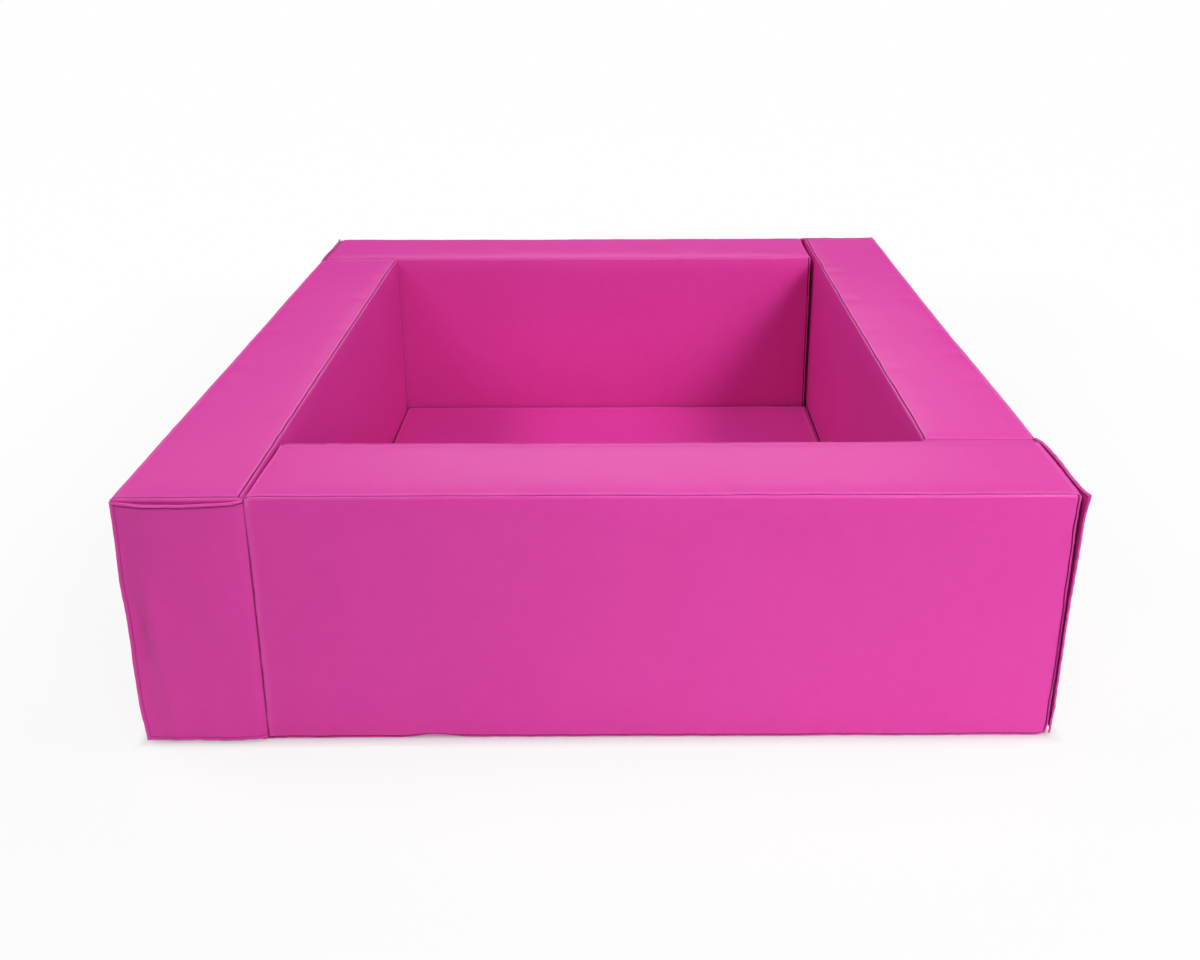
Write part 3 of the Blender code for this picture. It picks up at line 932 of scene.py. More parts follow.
class Crown:
    """How a padded cover's faces stand out, taken from a cloth simulation of a coarse cage filled with pressure."""

    def __init__(self, size: Sequence[float], cell: float, rise: float) -> None:
        """Simulates the cage once.

        Args:
            size: The cover's lengths along X, Y and Z.
            cell: The cage's cells.
            rise: The most that a face may stand out.
        """
        self.size = np.array(size, float)
        self.rise = rise
        self.counts = [max(4, round(length / cell)) for length in size]
        self.faces: dict[tuple[int, int], np.ndarray] = {}
        cage = Bench.block("crown_cage", size, (0, 0, 0))
        Bench.divide(cage, [np.linspace(-s / 2, s / 2, n + 1) for s, n in zip(size, self.counts)])
        rest = Bench.points(cage)
        moved = self._filled(cage, rest)
        self._read(rest, moved - rest)
        bpy.data.objects.remove(cage)

    def _filled(self, cage: bpy.types.Object, rest: np.ndarray) -> np.ndarray:
        """Fills the cage with pressure, its edges and its underside held.

        Args:
            cage: The cage.
            rest: Its points before that.

        Returns:
            Its points after that.
        """
        held = cage.vertex_groups.new(name="held")
        on_faces = (np.abs(np.abs(rest) - self.size / 2) < TINY).sum(1)
        under = rest[:, 2] < -self.size[2] / 2 + TINY
        held.add([int(i) for i in np.flatnonzero((on_faces > 1) | under)], 1.0, "REPLACE")
        modifier = cage.modifiers.new("filling", "CLOTH")
        for name, value in FILLING.items():
            setattr(modifier.settings, name, value)
        modifier.settings.effector_weights.gravity = 0
        for number in range(SETTLE_FRAMES):
            bpy.context.scene.frame_set(number + 1)
        shown = cage.evaluated_get(bpy.context.evaluated_depsgraph_get())
        flat = np.empty(len(shown.data.vertices) * 3)
        shown.data.vertices.foreach_get("co", flat)
        bpy.context.scene.frame_set(1)
        cage.modifiers.clear()
        return flat.reshape(-1, 3)

    def _read(self, rest: np.ndarray, moves: np.ndarray) -> None:
        """Sorts the moves into one grid for each face, and limits them.

        Args:
            rest: The cage's points at rest.
            moves: How far each has moved.
        """
        steps = [np.rint((rest[:, i] / self.size[i] + 0.5) * self.counts[i]).astype(int) for i in range(3)]
        for axis in range(3):
            across, along = [i for i in range(3) if i != axis]
            for sign in (-1, 1):
                on = steps[axis] == (self.counts[axis] if sign > 0 else 0)
                grid = np.zeros((self.counts[across] + 1, self.counts[along] + 1))
                grid[steps[across][on], steps[along][on]] = moves[on, axis] * sign
                self.faces[axis, sign] = self._limited(grid)

    def _limited(self, grid: np.ndarray) -> np.ndarray:
        """The grid's heights, drawn in towards the rise that foam allows."""
        if not grid.any():
            across, along = (np.linspace(-1, 1, n)[:, None] for n in grid.shape)
            return self.rise * (1 - across**4) @ (1 - along**4).T
        return self.rise * np.tanh(grid / self.rise)

    def height(self, axis: int, sign: int, across: np.ndarray, along: np.ndarray) -> np.ndarray:
        """How far a face stands out.

        Args:
            axis: The axis that the face looks along.
            sign: 1 or -1, for which way it looks.
            across: Places from -1 to 1 along the first of the other two axes.
            along: Places from -1 to 1 along the second.

        Returns:
            Heights in metres, smooth between the cage's points.
        """
        padded = np.pad(self.faces[axis, sign], 1, mode="edge")
        total = 0.0
        weights = []
        for share, count in ((across, padded.shape[0] - 2), (along, padded.shape[1] - 2)):
            where = (np.clip(share, -1, 1) + 1) / 2 * (count - 1)
            start = np.minimum(where.astype(int), count - 2)
            t = where - start
            curve = (
                (-t + 2 * t**2 - t**3) / 2,
                (2 - 5 * t**2 + 3 * t**3) / 2,
                (t + 4 * t**2 - 3 * t**3) / 2,
                (t**3 - t**2) / 2,
            )
            weights.append((start, curve))
        (row, rows), (column, columns) = weights
        for i in range(4):
            for j in range(4):
                total = total + rows[i] * columns[j] * padded[row + i, column + j]
        return total


@dataclass
class SewnCover:
    """A zipped vinyl cover over foam, in a frame whose origin is on the floor under the block's middle."""

    name: str
    size: tuple[float, float, float]
    zip_length: float
    zip_offset: float = 0.0
    cell: float = 9.5 * MM
    top_rise: float = 3 * MM
    side_rise: float = 3 * MM
    edge_draw: float = 1.0 * MM
    edge_radius: float = 4.2 * MM
    seam_inset: float = 5.3 * MM
    foot_inset: float = 4.6 * MM
    flap_seam_inset: float = 0.8 * MM
    flap_seam_close: float = 0.6
    butt_seam_inset: float = 1.2 * MM
    crease_depth: float = 2.3 * MM
    crease_width: float = 1.0 * MM
    corner_sink: float = 1.4 * MM
    # Width of the painted shade along the bottom of each seam.
    crease_tone: float = 1.15 * MM
    lip_height: float = 0.85 * MM
    lip_reach: float = 2.9 * MM
    lip_width: float = 1.5 * MM
    pucker_height: float = 0.22 * MM
    pucker_reach: float = 13 * MM
    pucker_waves: tuple[float, float] = (11 * MM, 46 * MM)
    tension_waves: tuple[float, float] = (0.12, 0.5)
    wander: float = 0.35 * MM
    wander_waves: tuple[float, float] = (0.05, 0.4)
    upright_waves: tuple[float, float] = (0.05, 0.3)
    broad_waves: tuple[float, float] = (0.16, 0.7)
    close_waves: tuple[float, float] = (0.05, 0.15)
    close_share: float = 0.22
    depth_waves: tuple[float, float] = (0.03, 0.2)
    depth_share: float = 0.18
    side_shifts: tuple[float, float] = (5.1, 3.7)
    ripple: float = 0.30 * MM
    vinyl: float = 1.0 * MM
    fold_width: float = 28 * MM
    lip_rise: float = 7.3 * MM
    lip_bend: float = 1.4 * MM
    fine_rows: tuple[float, ...] = (0, 1.2, 2.4, 3.5, 4.3, 4.9, 5.3, 5.7, 6.3, 7.2, 8.6, 11, 15, 21)
    hush: float = 1.5 * MM
    crown_cells: int = 52
    crown: Crown | None = None
    low_rows: tuple[float, ...] = (23 * MM, 25.5 * MM)
    beside_slot: float = 1.12
    # Depth below the top within which the seams' lips get their full rubbed wear and painted highlight, and the share
    # they get lower down.
    handled_depth: float = 12 * MM
    unhandled_rub: float = 0.4

    def __post_init__(self) -> None:
        """Fills the cover's cage with pressure, and cuts its plain panels."""
        self.crown = Crown(self.size, max(self.size) / self.crown_cells, max(self.top_rise, self.side_rise))
        self.half = np.array(self.size) / 2
        length, depth, height = self.size
        fold = self.fold_width / 2
        ends = (-self.zip_length / 2, self.zip_length / 2)
        sides = [self.zip_offset + s * fold * k for s in (-1, 1) for k in (1, self.beside_slot)]
        self.blank = Bench.block(self.name + "_blank", self.size, (0, 0, height / 2))
        self.blank.hide_render = True
        tables = [
            self._rows(length, [e + length / 2 for e in ends]) - length / 2,
            self._rows(depth, [s + depth / 2 for s in sides]) - depth / 2,
            self._rows(height, self.low_rows),
        ]
        Bench.divide(self.blank, tables)
        self.flat = Bench.points(self.blank)
        self._open_slot()

    def _rows(self, length: float, extra: Iterable[float]) -> np.ndarray:
        """Places that divide a length: close together at its ends, even between them.

        Args:
            length: The length.
            extra: More places, which the nearest even rows give way to.

        Returns:
            The places in order, from 0.
        """
        fine = [row * MM for row in self.fine_rows if row * MM < length / 2 - 1 * MM]
        low, high = fine[-1], length - fine[-1]
        cells = max(1, round((high - low) / self.cell))
        even = [low + (high - low) * i / cells for i in range(1, cells)]
        extra = [place for place in extra if low < place < high]
        for place in extra:
            even = [row for row in even if abs(row - place) > 0.3 * self.cell]
        return np.array(sorted([*fine, *even, *extra, *(length - row for row in fine)]))

    def _open_slot(self) -> None:
        """Cuts the zip's opening out of the plain underside."""
        fold, end = self.fold_width / 2, self.zip_length / 2

        def in_slot(face: bmesh.types.BMFace) -> bool:
            """True for a face of the opening."""
            centre = face.calc_center_median()
            return centre.z < TINY and abs(centre.x) < end and abs(centre.y - self.zip_offset) < fold

        with Bench.editing(self.blank, "FACE"):
            Bench.pick_faces(self.blank, in_slot)
            bpy.ops.mesh.delete(type="FACE")
        self.flat = Bench.points(self.blank)

    def _seams(self, inside: np.ndarray, centred: np.ndarray) -> dict[str, np.ndarray]:
        """How far each point lies from each seam, over the surface.

        Args:
            inside: Distances from the pairs of faces.
            centred: Places about the block's middle.

        Returns:
            The distances from the top, foot and upright seams, by name.
        """
        x, y, z = inside.T
        top = (z < TINY) & (centred[:, 2] > 0)
        bottom = (z < TINY) & (centred[:, 2] < 0)
        long_face, end_face = y < TINY, x < TINY
        rim = np.minimum(x, y)
        butted = np.where(centred[:, 0] < 0, x + self.seam_inset - self.butt_seam_inset, x)
        drop, up = self.half[2] - centred[:, 2], self.half[2] + centred[:, 2]
        s, foot = self.seam_inset, self.foot_inset
        far = np.full(len(x), 1.0)
        from_top = np.where(bottom, far, np.where(top, np.abs(np.minimum(butted, y) - s), s + drop))
        from_foot = np.where(top, far, np.where(bottom, foot + rim, np.abs(up - foot)))
        sewn_on = (centred[:, 0] < 0) & (centred[:, 1] < 0)
        at = np.where(sewn_on, self.flap_seam_inset, s)
        upright = np.where(
            long_face,
            np.hypot((x - at) * np.where(sewn_on, self.flap_seam_close, 1), np.maximum(foot - up, 0)),
            np.where(end_face, s + y, np.where(top, np.hypot(x - s, np.maximum(y - s, 0)), far)),
        )
        return {"top": from_top, "foot": from_foot, "upright": upright}

    def shaped(
        self, seed: int, dents: Sequence[Dent] = (), tight: Edge = Edge.NONE
    ) -> tuple[np.ndarray, np.ndarray, np.ndarray]:
        """Turns the plain panels into a filled and sewn cover.

        Args:
            seed: The seed of this cover's waves.
            dents: Places where it is pushed.
            tight: The edge whose top seam is pulled closed.

        Returns:
            The points, the share of painted seam shade (how near each is to the bottom of a seam), and the share of
            rubbed wear and painted highlight on the seams' lips, both from 0 to 1.
        """
        half, s = self.half, self.seam_inset
        centred = self.flat - (0, 0, half[2])
        inside = half - np.abs(centred)
        signs = np.sign(centred)
        core = np.clip(centred, -(half - self.edge_radius), half - self.edge_radius)
        away = centred - core
        normals = away / np.linalg.norm(away, axis=1)[:, None]
        points = core + normals * self.edge_radius
        seams = self._seams(inside, centred)
        along_edge = {
            Edge.NONE: np.zeros(len(centred), bool),
            Edge.OUTER: (centred[:, 1] < 0) & (inside[:, 1] < inside[:, 0]),
            Edge.END: (centred[:, 0] > 0) & (inside[:, 0] < inside[:, 1]),
        }[tight]
        seams["top"] = seams["top"] + self.hush * along_edge

        self._fill_out(points, centred)
        x, y, z = centred.T
        shift_x, shift_y = (shift * signs[:, axis] for axis, shift in enumerate(self.side_shifts))
        along_x, along_y, up, round_foot = x + shift_y, y + shift_x, z + shift_x + shift_y, x + y + shift_x + shift_y
        runs = (
            (along_x, np.hypot(inside[:, 1] - s, inside[:, 2])),
            (along_y, np.hypot(inside[:, 0] - s, inside[:, 2])),
            (up, seams["upright"]),
            (round_foot, seams["foot"]),
        )
        seed *= 100
        pucker = sum(self._puckers(seed + step, *run) for step, run in enumerate(runs, 11))
        nearest = np.minimum(np.minimum(seams["top"], seams["foot"]), seams["upright"])
        depth = self.crease_depth * (1 + self.depth_share * Waves(seed + 5, *self.depth_waves, 1.0).over(centred))
        crease = depth * np.exp(-nearest / self.crease_width)
        lip = self.lip_height * bell(nearest - self.lip_reach, self.lip_width)
        broad = Waves(seed + 1, *self.broad_waves, self.ripple).over(centred)
        close = Waves(seed + 2, *self.close_waves, self.close_share * self.ripple).over(centred)
        points += normals * (pucker - crease + lip + broad + close)[:, None]

        stray_y = Waves(seed + 6, *self.wander_waves, self.wander).along(along_x)
        stray_x = Waves(seed + 7, *self.upright_waves, self.wander).along(along_y)
        stray_z = Waves(seed + 8, *self.wander_waves, self.wander).along(round_foot)
        stray_up = Waves(seed + 9, *self.upright_waves, self.wander).along(up)
        near, close_by = 5 * MM, 4 * MM
        upper = bell(inside[:, 2], close_by) * (centred[:, 2] > 0)
        points[:, 1] += stray_y * bell(inside[:, 1] - s, near) * upper
        points[:, 0] += stray_x * bell(inside[:, 0] - s, near) * upper
        points[:, 0] += stray_up * bell(inside[:, 0] - s, near) * bell(inside[:, 1], close_by) * (1 - upper)
        points[:, 2] += stray_z * bell(seams["foot"], close_by)

        corner = bell(np.hypot(np.minimum(inside[:, 0], 1) - s, inside[:, 1] - s), near) * upper
        points -= normals * (self.corner_sink * corner)[:, None]
        for dent in dents:
            points += dent.moved(centred + (0, 0, half[2]))
        points[:, 2] = np.maximum(points[:, 2] + half[2], 0)
        # Painted shade at the bottom of each seam, and rubbed wear with painted highlight on the lips, fullest near
        # the top.
        crease_shade_share = bell(nearest, self.crease_tone)
        handled_and_lit = np.where((signs[:, 2] > 0) & (inside[:, 2] < self.handled_depth), 1, self.unhandled_rub)
        return points, crease_shade_share, bell(nearest - self.lip_reach, self.lip_width) * handled_and_lit

    def _fill_out(self, points: np.ndarray, centred: np.ndarray) -> None:
        """Crowns the faces between their drawn-in edges.

        Args:
            points: The cover's points, which are moved.
            centred: The plain panels' points about the block's middle.
        """
        shares = centred / self.half
        for axis, rise in enumerate((self.side_rise, self.side_rise, self.top_rise)):
            a, b = (shares[:, i] for i in range(3) if i != axis)
            front, back = (self.crown.height(axis, sign, a, b) for sign in (1, -1))
            drawn_in = self.edge_draw * (a**2 * (1 - b**2) + b**2 * (1 - a**2))
            grow = np.where(shares[:, axis] > 0, front, back) * rise / self.crown.rise - drawn_in
            points[:, axis] += (shares[:, axis] if axis < 2 else (1 + shares[:, axis]) / 2) * grow

    def _puckers(self, seed: int, place: np.ndarray, distance: np.ndarray) -> np.ndarray:
        """The small gathers along one kind of seam, tight in some stretches and slack in others.

        Args:
            seed: The seed of their waves.
            place: Each point's place along the seam.
            distance: How far it lies from the seam.

        Returns:
            How far each point stands out.
        """
        short = Waves(seed, *self.pucker_waves, self.pucker_height, 10).along(place)
        tension = ease(0.5 + Waves(seed + 20, *self.tension_waves, 0.5).along(place))
        return short * tension * np.exp(-distance / self.pucker_reach)

    def sew(
        self, name: str, seed: int, move: Matrix, dents: Sequence[Dent] = (), tight: Edge = Edge.NONE
    ) -> bpy.types.Object:
        """Makes one cover from the plain panels.

        Args:
            name: The cover's name.
            seed: The seed of its waves.
            move: From the block's frame to where it stands.
            dents: Places where it is pushed.
            tight: The edge whose top seam is pulled closed.

        Returns:
            The cover, a thin closed wall with its zip's opening turned in.
        """
        cover = Bench.copy(self.blank, name)
        cover.hide_render = False
        points, crease, rub = self.shaped(seed, dents, tight)
        Bench.place_points(cover, points)
        # Shares of painted seam shade and of rubbed wear with painted highlight, which the vinyl reads.
        Bench.note(cover, "seam", crease)
        Bench.note(cover, "rub", rub)
        with Bench.editing(cover, "EDGE"):
            Bench.pick_edges(cover, lambda e: e.is_boundary)
            bpy.ops.mesh.extrude_region_move(TRANSFORM_OT_translate={"value": (0, 0, self.lip_rise)})
        with Bench.editing(cover, "EDGE"):
            Bench.pick_edges(cover, self._is_rim)
            bpy.ops.mesh.bevel(offset=self.lip_bend, segments=2, affect="EDGES")
        Bench.finish_with(cover, "SOLIDIFY", thickness=self.vinyl, offset=-1, use_even_offset=False)
        return Bench.hand_over(cover, move, VINYL)

    @staticmethod
    def _is_rim(edge: bmesh.types.BMEdge) -> bool:
        """True for an edge where the underside turns in to the zip."""
        if len(edge.link_faces) != 2 or max(v.co.z for v in edge.verts) > 0.5 * MM:
            return False
        return edge.calc_face_angle(0) > math.radians(60)


@dataclass
class FoamBlock:
    """The foam in a cover, with a channel for the zip, in the cover's frame."""

    size: tuple[float, float, float]
    zip_length: float
    zip_offset: float = 0.0
    inset: float = 3.2 * MM
    channel_half: float = 18.5 * MM
    channel_end: float = 4.5 * MM
    channel_top: float = 13.6 * MM
    corner: float = 9 * MM
    cell: float = 24 * MM
    depth_cell: float = 20 * MM
    saw_waves: tuple[float, float] = (0.03, 0.2)
    saw_depth: float = 0.15 * MM

    def cut(self, name: str, seed: int, move: Matrix, dents: Sequence[Dent] = ()) -> bpy.types.Object:
        """Cuts one foam block.

        Args:
            name: Its name.
            seed: The seed of its saw marks.
            move: From the block's frame to where it stands.
            dents: Places where it is pushed in with its cover.

        Returns:
            The foam.
        """
        length, depth, height = (side - 2 * self.inset for side in self.size)
        base = self.inset
        end = self.zip_length / 2 + self.channel_end
        low, high = self.zip_offset - self.channel_half, self.zip_offset + self.channel_half
        tables = [
            np.concatenate([[-length / 2], evenly(-end, end, self.cell), [length / 2]]),
            np.concatenate([evenly(-depth / 2, low, self.depth_cell), evenly(high, depth / 2, self.depth_cell)]),
            np.linspace(base, base + height, max(3, round(height / self.cell))),
        ]
        foam = Bench.block(name, (length, depth, height), (0, 0, base + height / 2))
        Bench.divide(foam, tables)

        def over_zip(face: bmesh.types.BMFace) -> bool:
            """True for a face of the underside that lies over the zip."""
            centre = face.calc_center_median()
            return face.normal.z < -ALIGNED and abs(centre.x) < end and low < centre.y < high

        with Bench.editing(foam, "FACE"):
            Bench.pick_faces(foam, over_zip)
            rise = max(self.channel_top - base, 1 * MM)
            bpy.ops.mesh.extrude_region_move(TRANSFORM_OT_translate={"value": (0, 0, rise)})
        with Bench.editing(foam, "EDGE"):
            Bench.pick_edges(foam, lambda e: len(e.link_faces) == 2 and self._outer(e, length, depth, base, height))
            bpy.ops.mesh.bevel(offset=min(self.corner, height / 4), segments=3, affect="EDGES")
        points = Bench.points(foam)
        marks = Waves(seed, *self.saw_waves, self.saw_depth).over(points)
        points[:, 0] += np.sign(points[:, 0]) * np.minimum(marks, 0)
        points[:, 1] += 0.5 * marks * (np.abs(points[:, 1]) > depth / 4)
        for dent in dents:
            points += dent.moved(points)
        Bench.place_points(foam, points)
        return Bench.hand_over(foam, move, FOAM, 50)

    @staticmethod
    def _outer(edge: bmesh.types.BMEdge, length: float, depth: float, base: float, height: float) -> bool:
        """True for one of the block's twelve long edges."""
        middle = (edge.verts[0].co + edge.verts[1].co) / 2
        ends = (
            abs(abs(middle.x) - length / 2) < TINY,
            abs(abs(middle.y) - depth / 2) < TINY,
            min(abs(middle.z - base), abs(middle.z - base - height)) < TINY,
        )
        return sum(ends) >= 2 and edge.calc_face_angle(0) > 1


@dataclass
class ZipChain:
    """A closed zip under a block: its woven tape, its two rows of teeth and its stops, in the cover's frame."""

    length: float
    offset: float = 0.0
    level: float = 8 * MM
    tape_half: float = 17 * MM
    tape_thickness: float = 0.8 * MM
    tape_rows: tuple[float, ...] = (0, 2.2, 4.0, 4.6, 5.3, 6.0, 6.8, 9, 12, 13, 14, 16, 17)
    pitch: float = 3.2 * MM
    tooth: tuple[float, float, float] = (1.7 * MM, 5.4 * MM, 2.8 * MM)
    stop_length: float = 7 * MM
    stop_height: float = 2.9 * MM
    stop_round: float = 0.9 * MM
    tooth_bevel: float = 0.5 * MM
    tooth_inset: float = 0.25 * MM
    end_gap: float = 1 * MM
    tape_end: float = 3 * MM
    tape_cell: float = 9 * MM
    cord_height: float = 0.45 * MM
    cord_reach: float = 5.4 * MM
    cord_width: float = 0.7 * MM
    selvage: float = 1 * MM
    selvage_thinner: float = 0.15 * MM
    slack: float = 0.12 * MM
    slack_waves: tuple[float, float] = (0.05, 0.3)
    slack_seed: int = 5
    row_reach: float = 4.8 * MM

    def tape(self, name: str, move: Matrix) -> bpy.types.Object:
        """Weaves the tape, with a cord along each edge of the teeth.

        Args:
            name: Its name.
            move: From the block's frame to where it lies.

        Returns:
            The tape.
        """
        long = self.length + 2 * self.tape_end
        half = self.tape_half
        rows = np.array(self.tape_rows) / self.tape_rows[-1] * half
        tables = [
            evenly(-long / 2, long / 2, self.tape_cell),
            np.concatenate([-rows[:0:-1], rows]) + self.offset,
            np.array([-0.5, 0.5]) * self.tape_thickness + self.level,
        ]
        tape = Bench.block(name, (long, 2 * half, self.tape_thickness), (0, self.offset, self.level))
        Bench.divide(tape, tables)
        points = Bench.points(tape)
        across = np.abs(points[:, 1] - self.offset)
        side = np.sign(points[:, 2] - self.level)
        cord = self.cord_height * bell(across - self.cord_reach, self.cord_width)
        points[:, 2] += side * (cord - self.selvage_thinner * ease((across - half) / self.selvage + 1))
        slack = Waves(self.slack_seed, *self.slack_waves, self.slack).over(points)
        slack *= ease((across - 6 * MM) / (8 * MM))
        points[:, 2] += slack * bell(across - 12 * MM, 3 * MM)
        Bench.place_points(tape, points)
        return Bench.hand_over(tape, move, ZIP_WEAVE, 60)

    def teeth(self, name: str, move: Matrix) -> bpy.types.Object:
        """Sets both rows of teeth, closed, with a stop at each end.

        Args:
            name: Their name.
            move: From the block's frame to where they lie.

        Returns:
            The rows as one piece.
        """
        tooth = Bench.block("zip_tooth", self.tooth, (0, 0, 0))
        with Bench.editing(tooth, "EDGE"):
            Bench.pick_edges(tooth, lambda e: Bench.runs_along(e, AXES[1]))
            bpy.ops.mesh.bevel(offset=self.tooth_bevel, segments=1, affect="EDGES")
        with Bench.editing(tooth, "FACE"):
            Bench.pick_faces(tooth, lambda f: f.normal.y > ALIGNED)
            bpy.ops.mesh.inset(thickness=self.tooth_inset, depth=self.tooth_inset)
        run = self.length - 2 * (self.end_gap + self.stop_length)
        count = int(run / self.pitch)
        places = []
        shift = self.row_reach - self.tooth[1] / 2
        for i in range(count):
            x = -run / 2 + (i + 0.5) * self.pitch
            places.append(Matrix.Translation((x, self.offset - shift, self.level)))
            turned = Matrix.Translation((x + self.pitch / 2, self.offset + shift, self.level))
            places.append(turned @ Matrix.Rotation(math.pi, 4, "Z"))
        rows = Bench.stamp(name, tooth, places)
        Bench.join([rows, *(self._stop(sign * (run + self.stop_length) / 2) for sign in (-1, 1))])
        return Bench.hand_over(rows, move, ZIP_WEAVE, 40)

    def _stop(self, place: float) -> bpy.types.Object:
        """Makes a rounded stop at a place along the zip.

        Args:
            place: The place, from the zip's middle.

        Returns:
            The stop.
        """
        size = (self.stop_length, 2 * self.row_reach, self.stop_height)
        stop = Bench.block("zip_stop", size, (place, self.offset, self.level))
        Bench.finish_with(stop, "BEVEL", width=self.stop_round, segments=3, limit_method="ANGLE")
        return stop


# ---------------------------------------------------------------------------------------------- flaps


@dataclass(frozen=True)
class Fold:
    """A soft hollow or ridge across a flap: where, how long and wide, which way it runs and how far it stands out."""

    reach: float
    up: float
    long: float
    wide: float
    degrees: float
    rise: float

    def lift(self, reach: np.ndarray, up: np.ndarray) -> np.ndarray:
        """How far the fold moves the flap at places on it."""
        turn = math.radians(self.degrees)
        right, above = reach - self.reach, up - self.up
        along = math.cos(turn) * right + math.sin(turn) * above
        aside = math.cos(turn) * above - math.sin(turn) * right
        return self.rise * bell(along, self.long) * bell(aside, self.wide)


@dataclass(frozen=True)
class Drape:
    """How a flap hangs: its belly, how far and how widely its top gapes, its edge's curl and its own folds."""

    belly: float
    gape: float
    gape_reach: float
    gape_depth: float
    curl: float
    seed: int
    folds: tuple[Fold, ...] = ()
    dip: float = 3.5 * MM


DRAPES = {
    Side.FRONT: Drape(
        5 * MM,
        2 * MM,
        150 * MM,
        70 * MM,
        1 * MM,
        21,
        (
            Fold(0.148, 0.270, 0.210, 0.042, 90, 11.0 * MM),
            Fold(0.170, 0.225, 0.095, 0.016, 86, 7.0 * MM),
            Fold(0.213, 0.220, 0.160, 0.011, 90, 5.0 * MM),
            Fold(0.105, 0.225, 0.090, 0.021, -35, 4.5 * MM),
            Fold(0.120, 0.130, 0.090, 0.050, -30, -3.0 * MM),
            Fold(0.160, 0.060, 0.045, 0.012, 82, 2.6 * MM),
            Fold(0.150, 0.392, 0.050, 0.018, 8, -1.8 * MM),
        ),
    ),
    Side.RIGHT: Drape(
        2 * MM,
        6 * MM,
        60 * MM,
        210 * MM,
        0.3 * MM,
        22,
        (
            Fold(0.213, 0.150, 0.170, 0.009, 90, -5.5 * MM),
            Fold(0.213, 0.000, 0.060, 0.010, 90, -5.0 * MM),
            Fold(0.120, 0.200, 0.120, 0.030, 85, 2.5 * MM),
            Fold(0.215, 0.447, 0.030, 0.024, 90, 5.5 * MM),
            Fold(0.110, 0.447, 0.060, 0.050, 0, 1.5 * MM),
        ),
        9 * MM,
    ),
    Side.BACK: Drape(
        4 * MM, 8 * MM, 110 * MM, 140 * MM, 4 * MM, 23, (Fold(0.12, 0.26, 0.09, 0.03, 60, 2 * MM),)
    ),
    Side.LEFT: Drape(
        1.5 * MM, 1.5 * MM, 80 * MM, 160 * MM, 2 * MM, 24, (Fold(0.110, 0.16, 0.10, 0.03, 70, 3.0 * MM),)
    ),
}


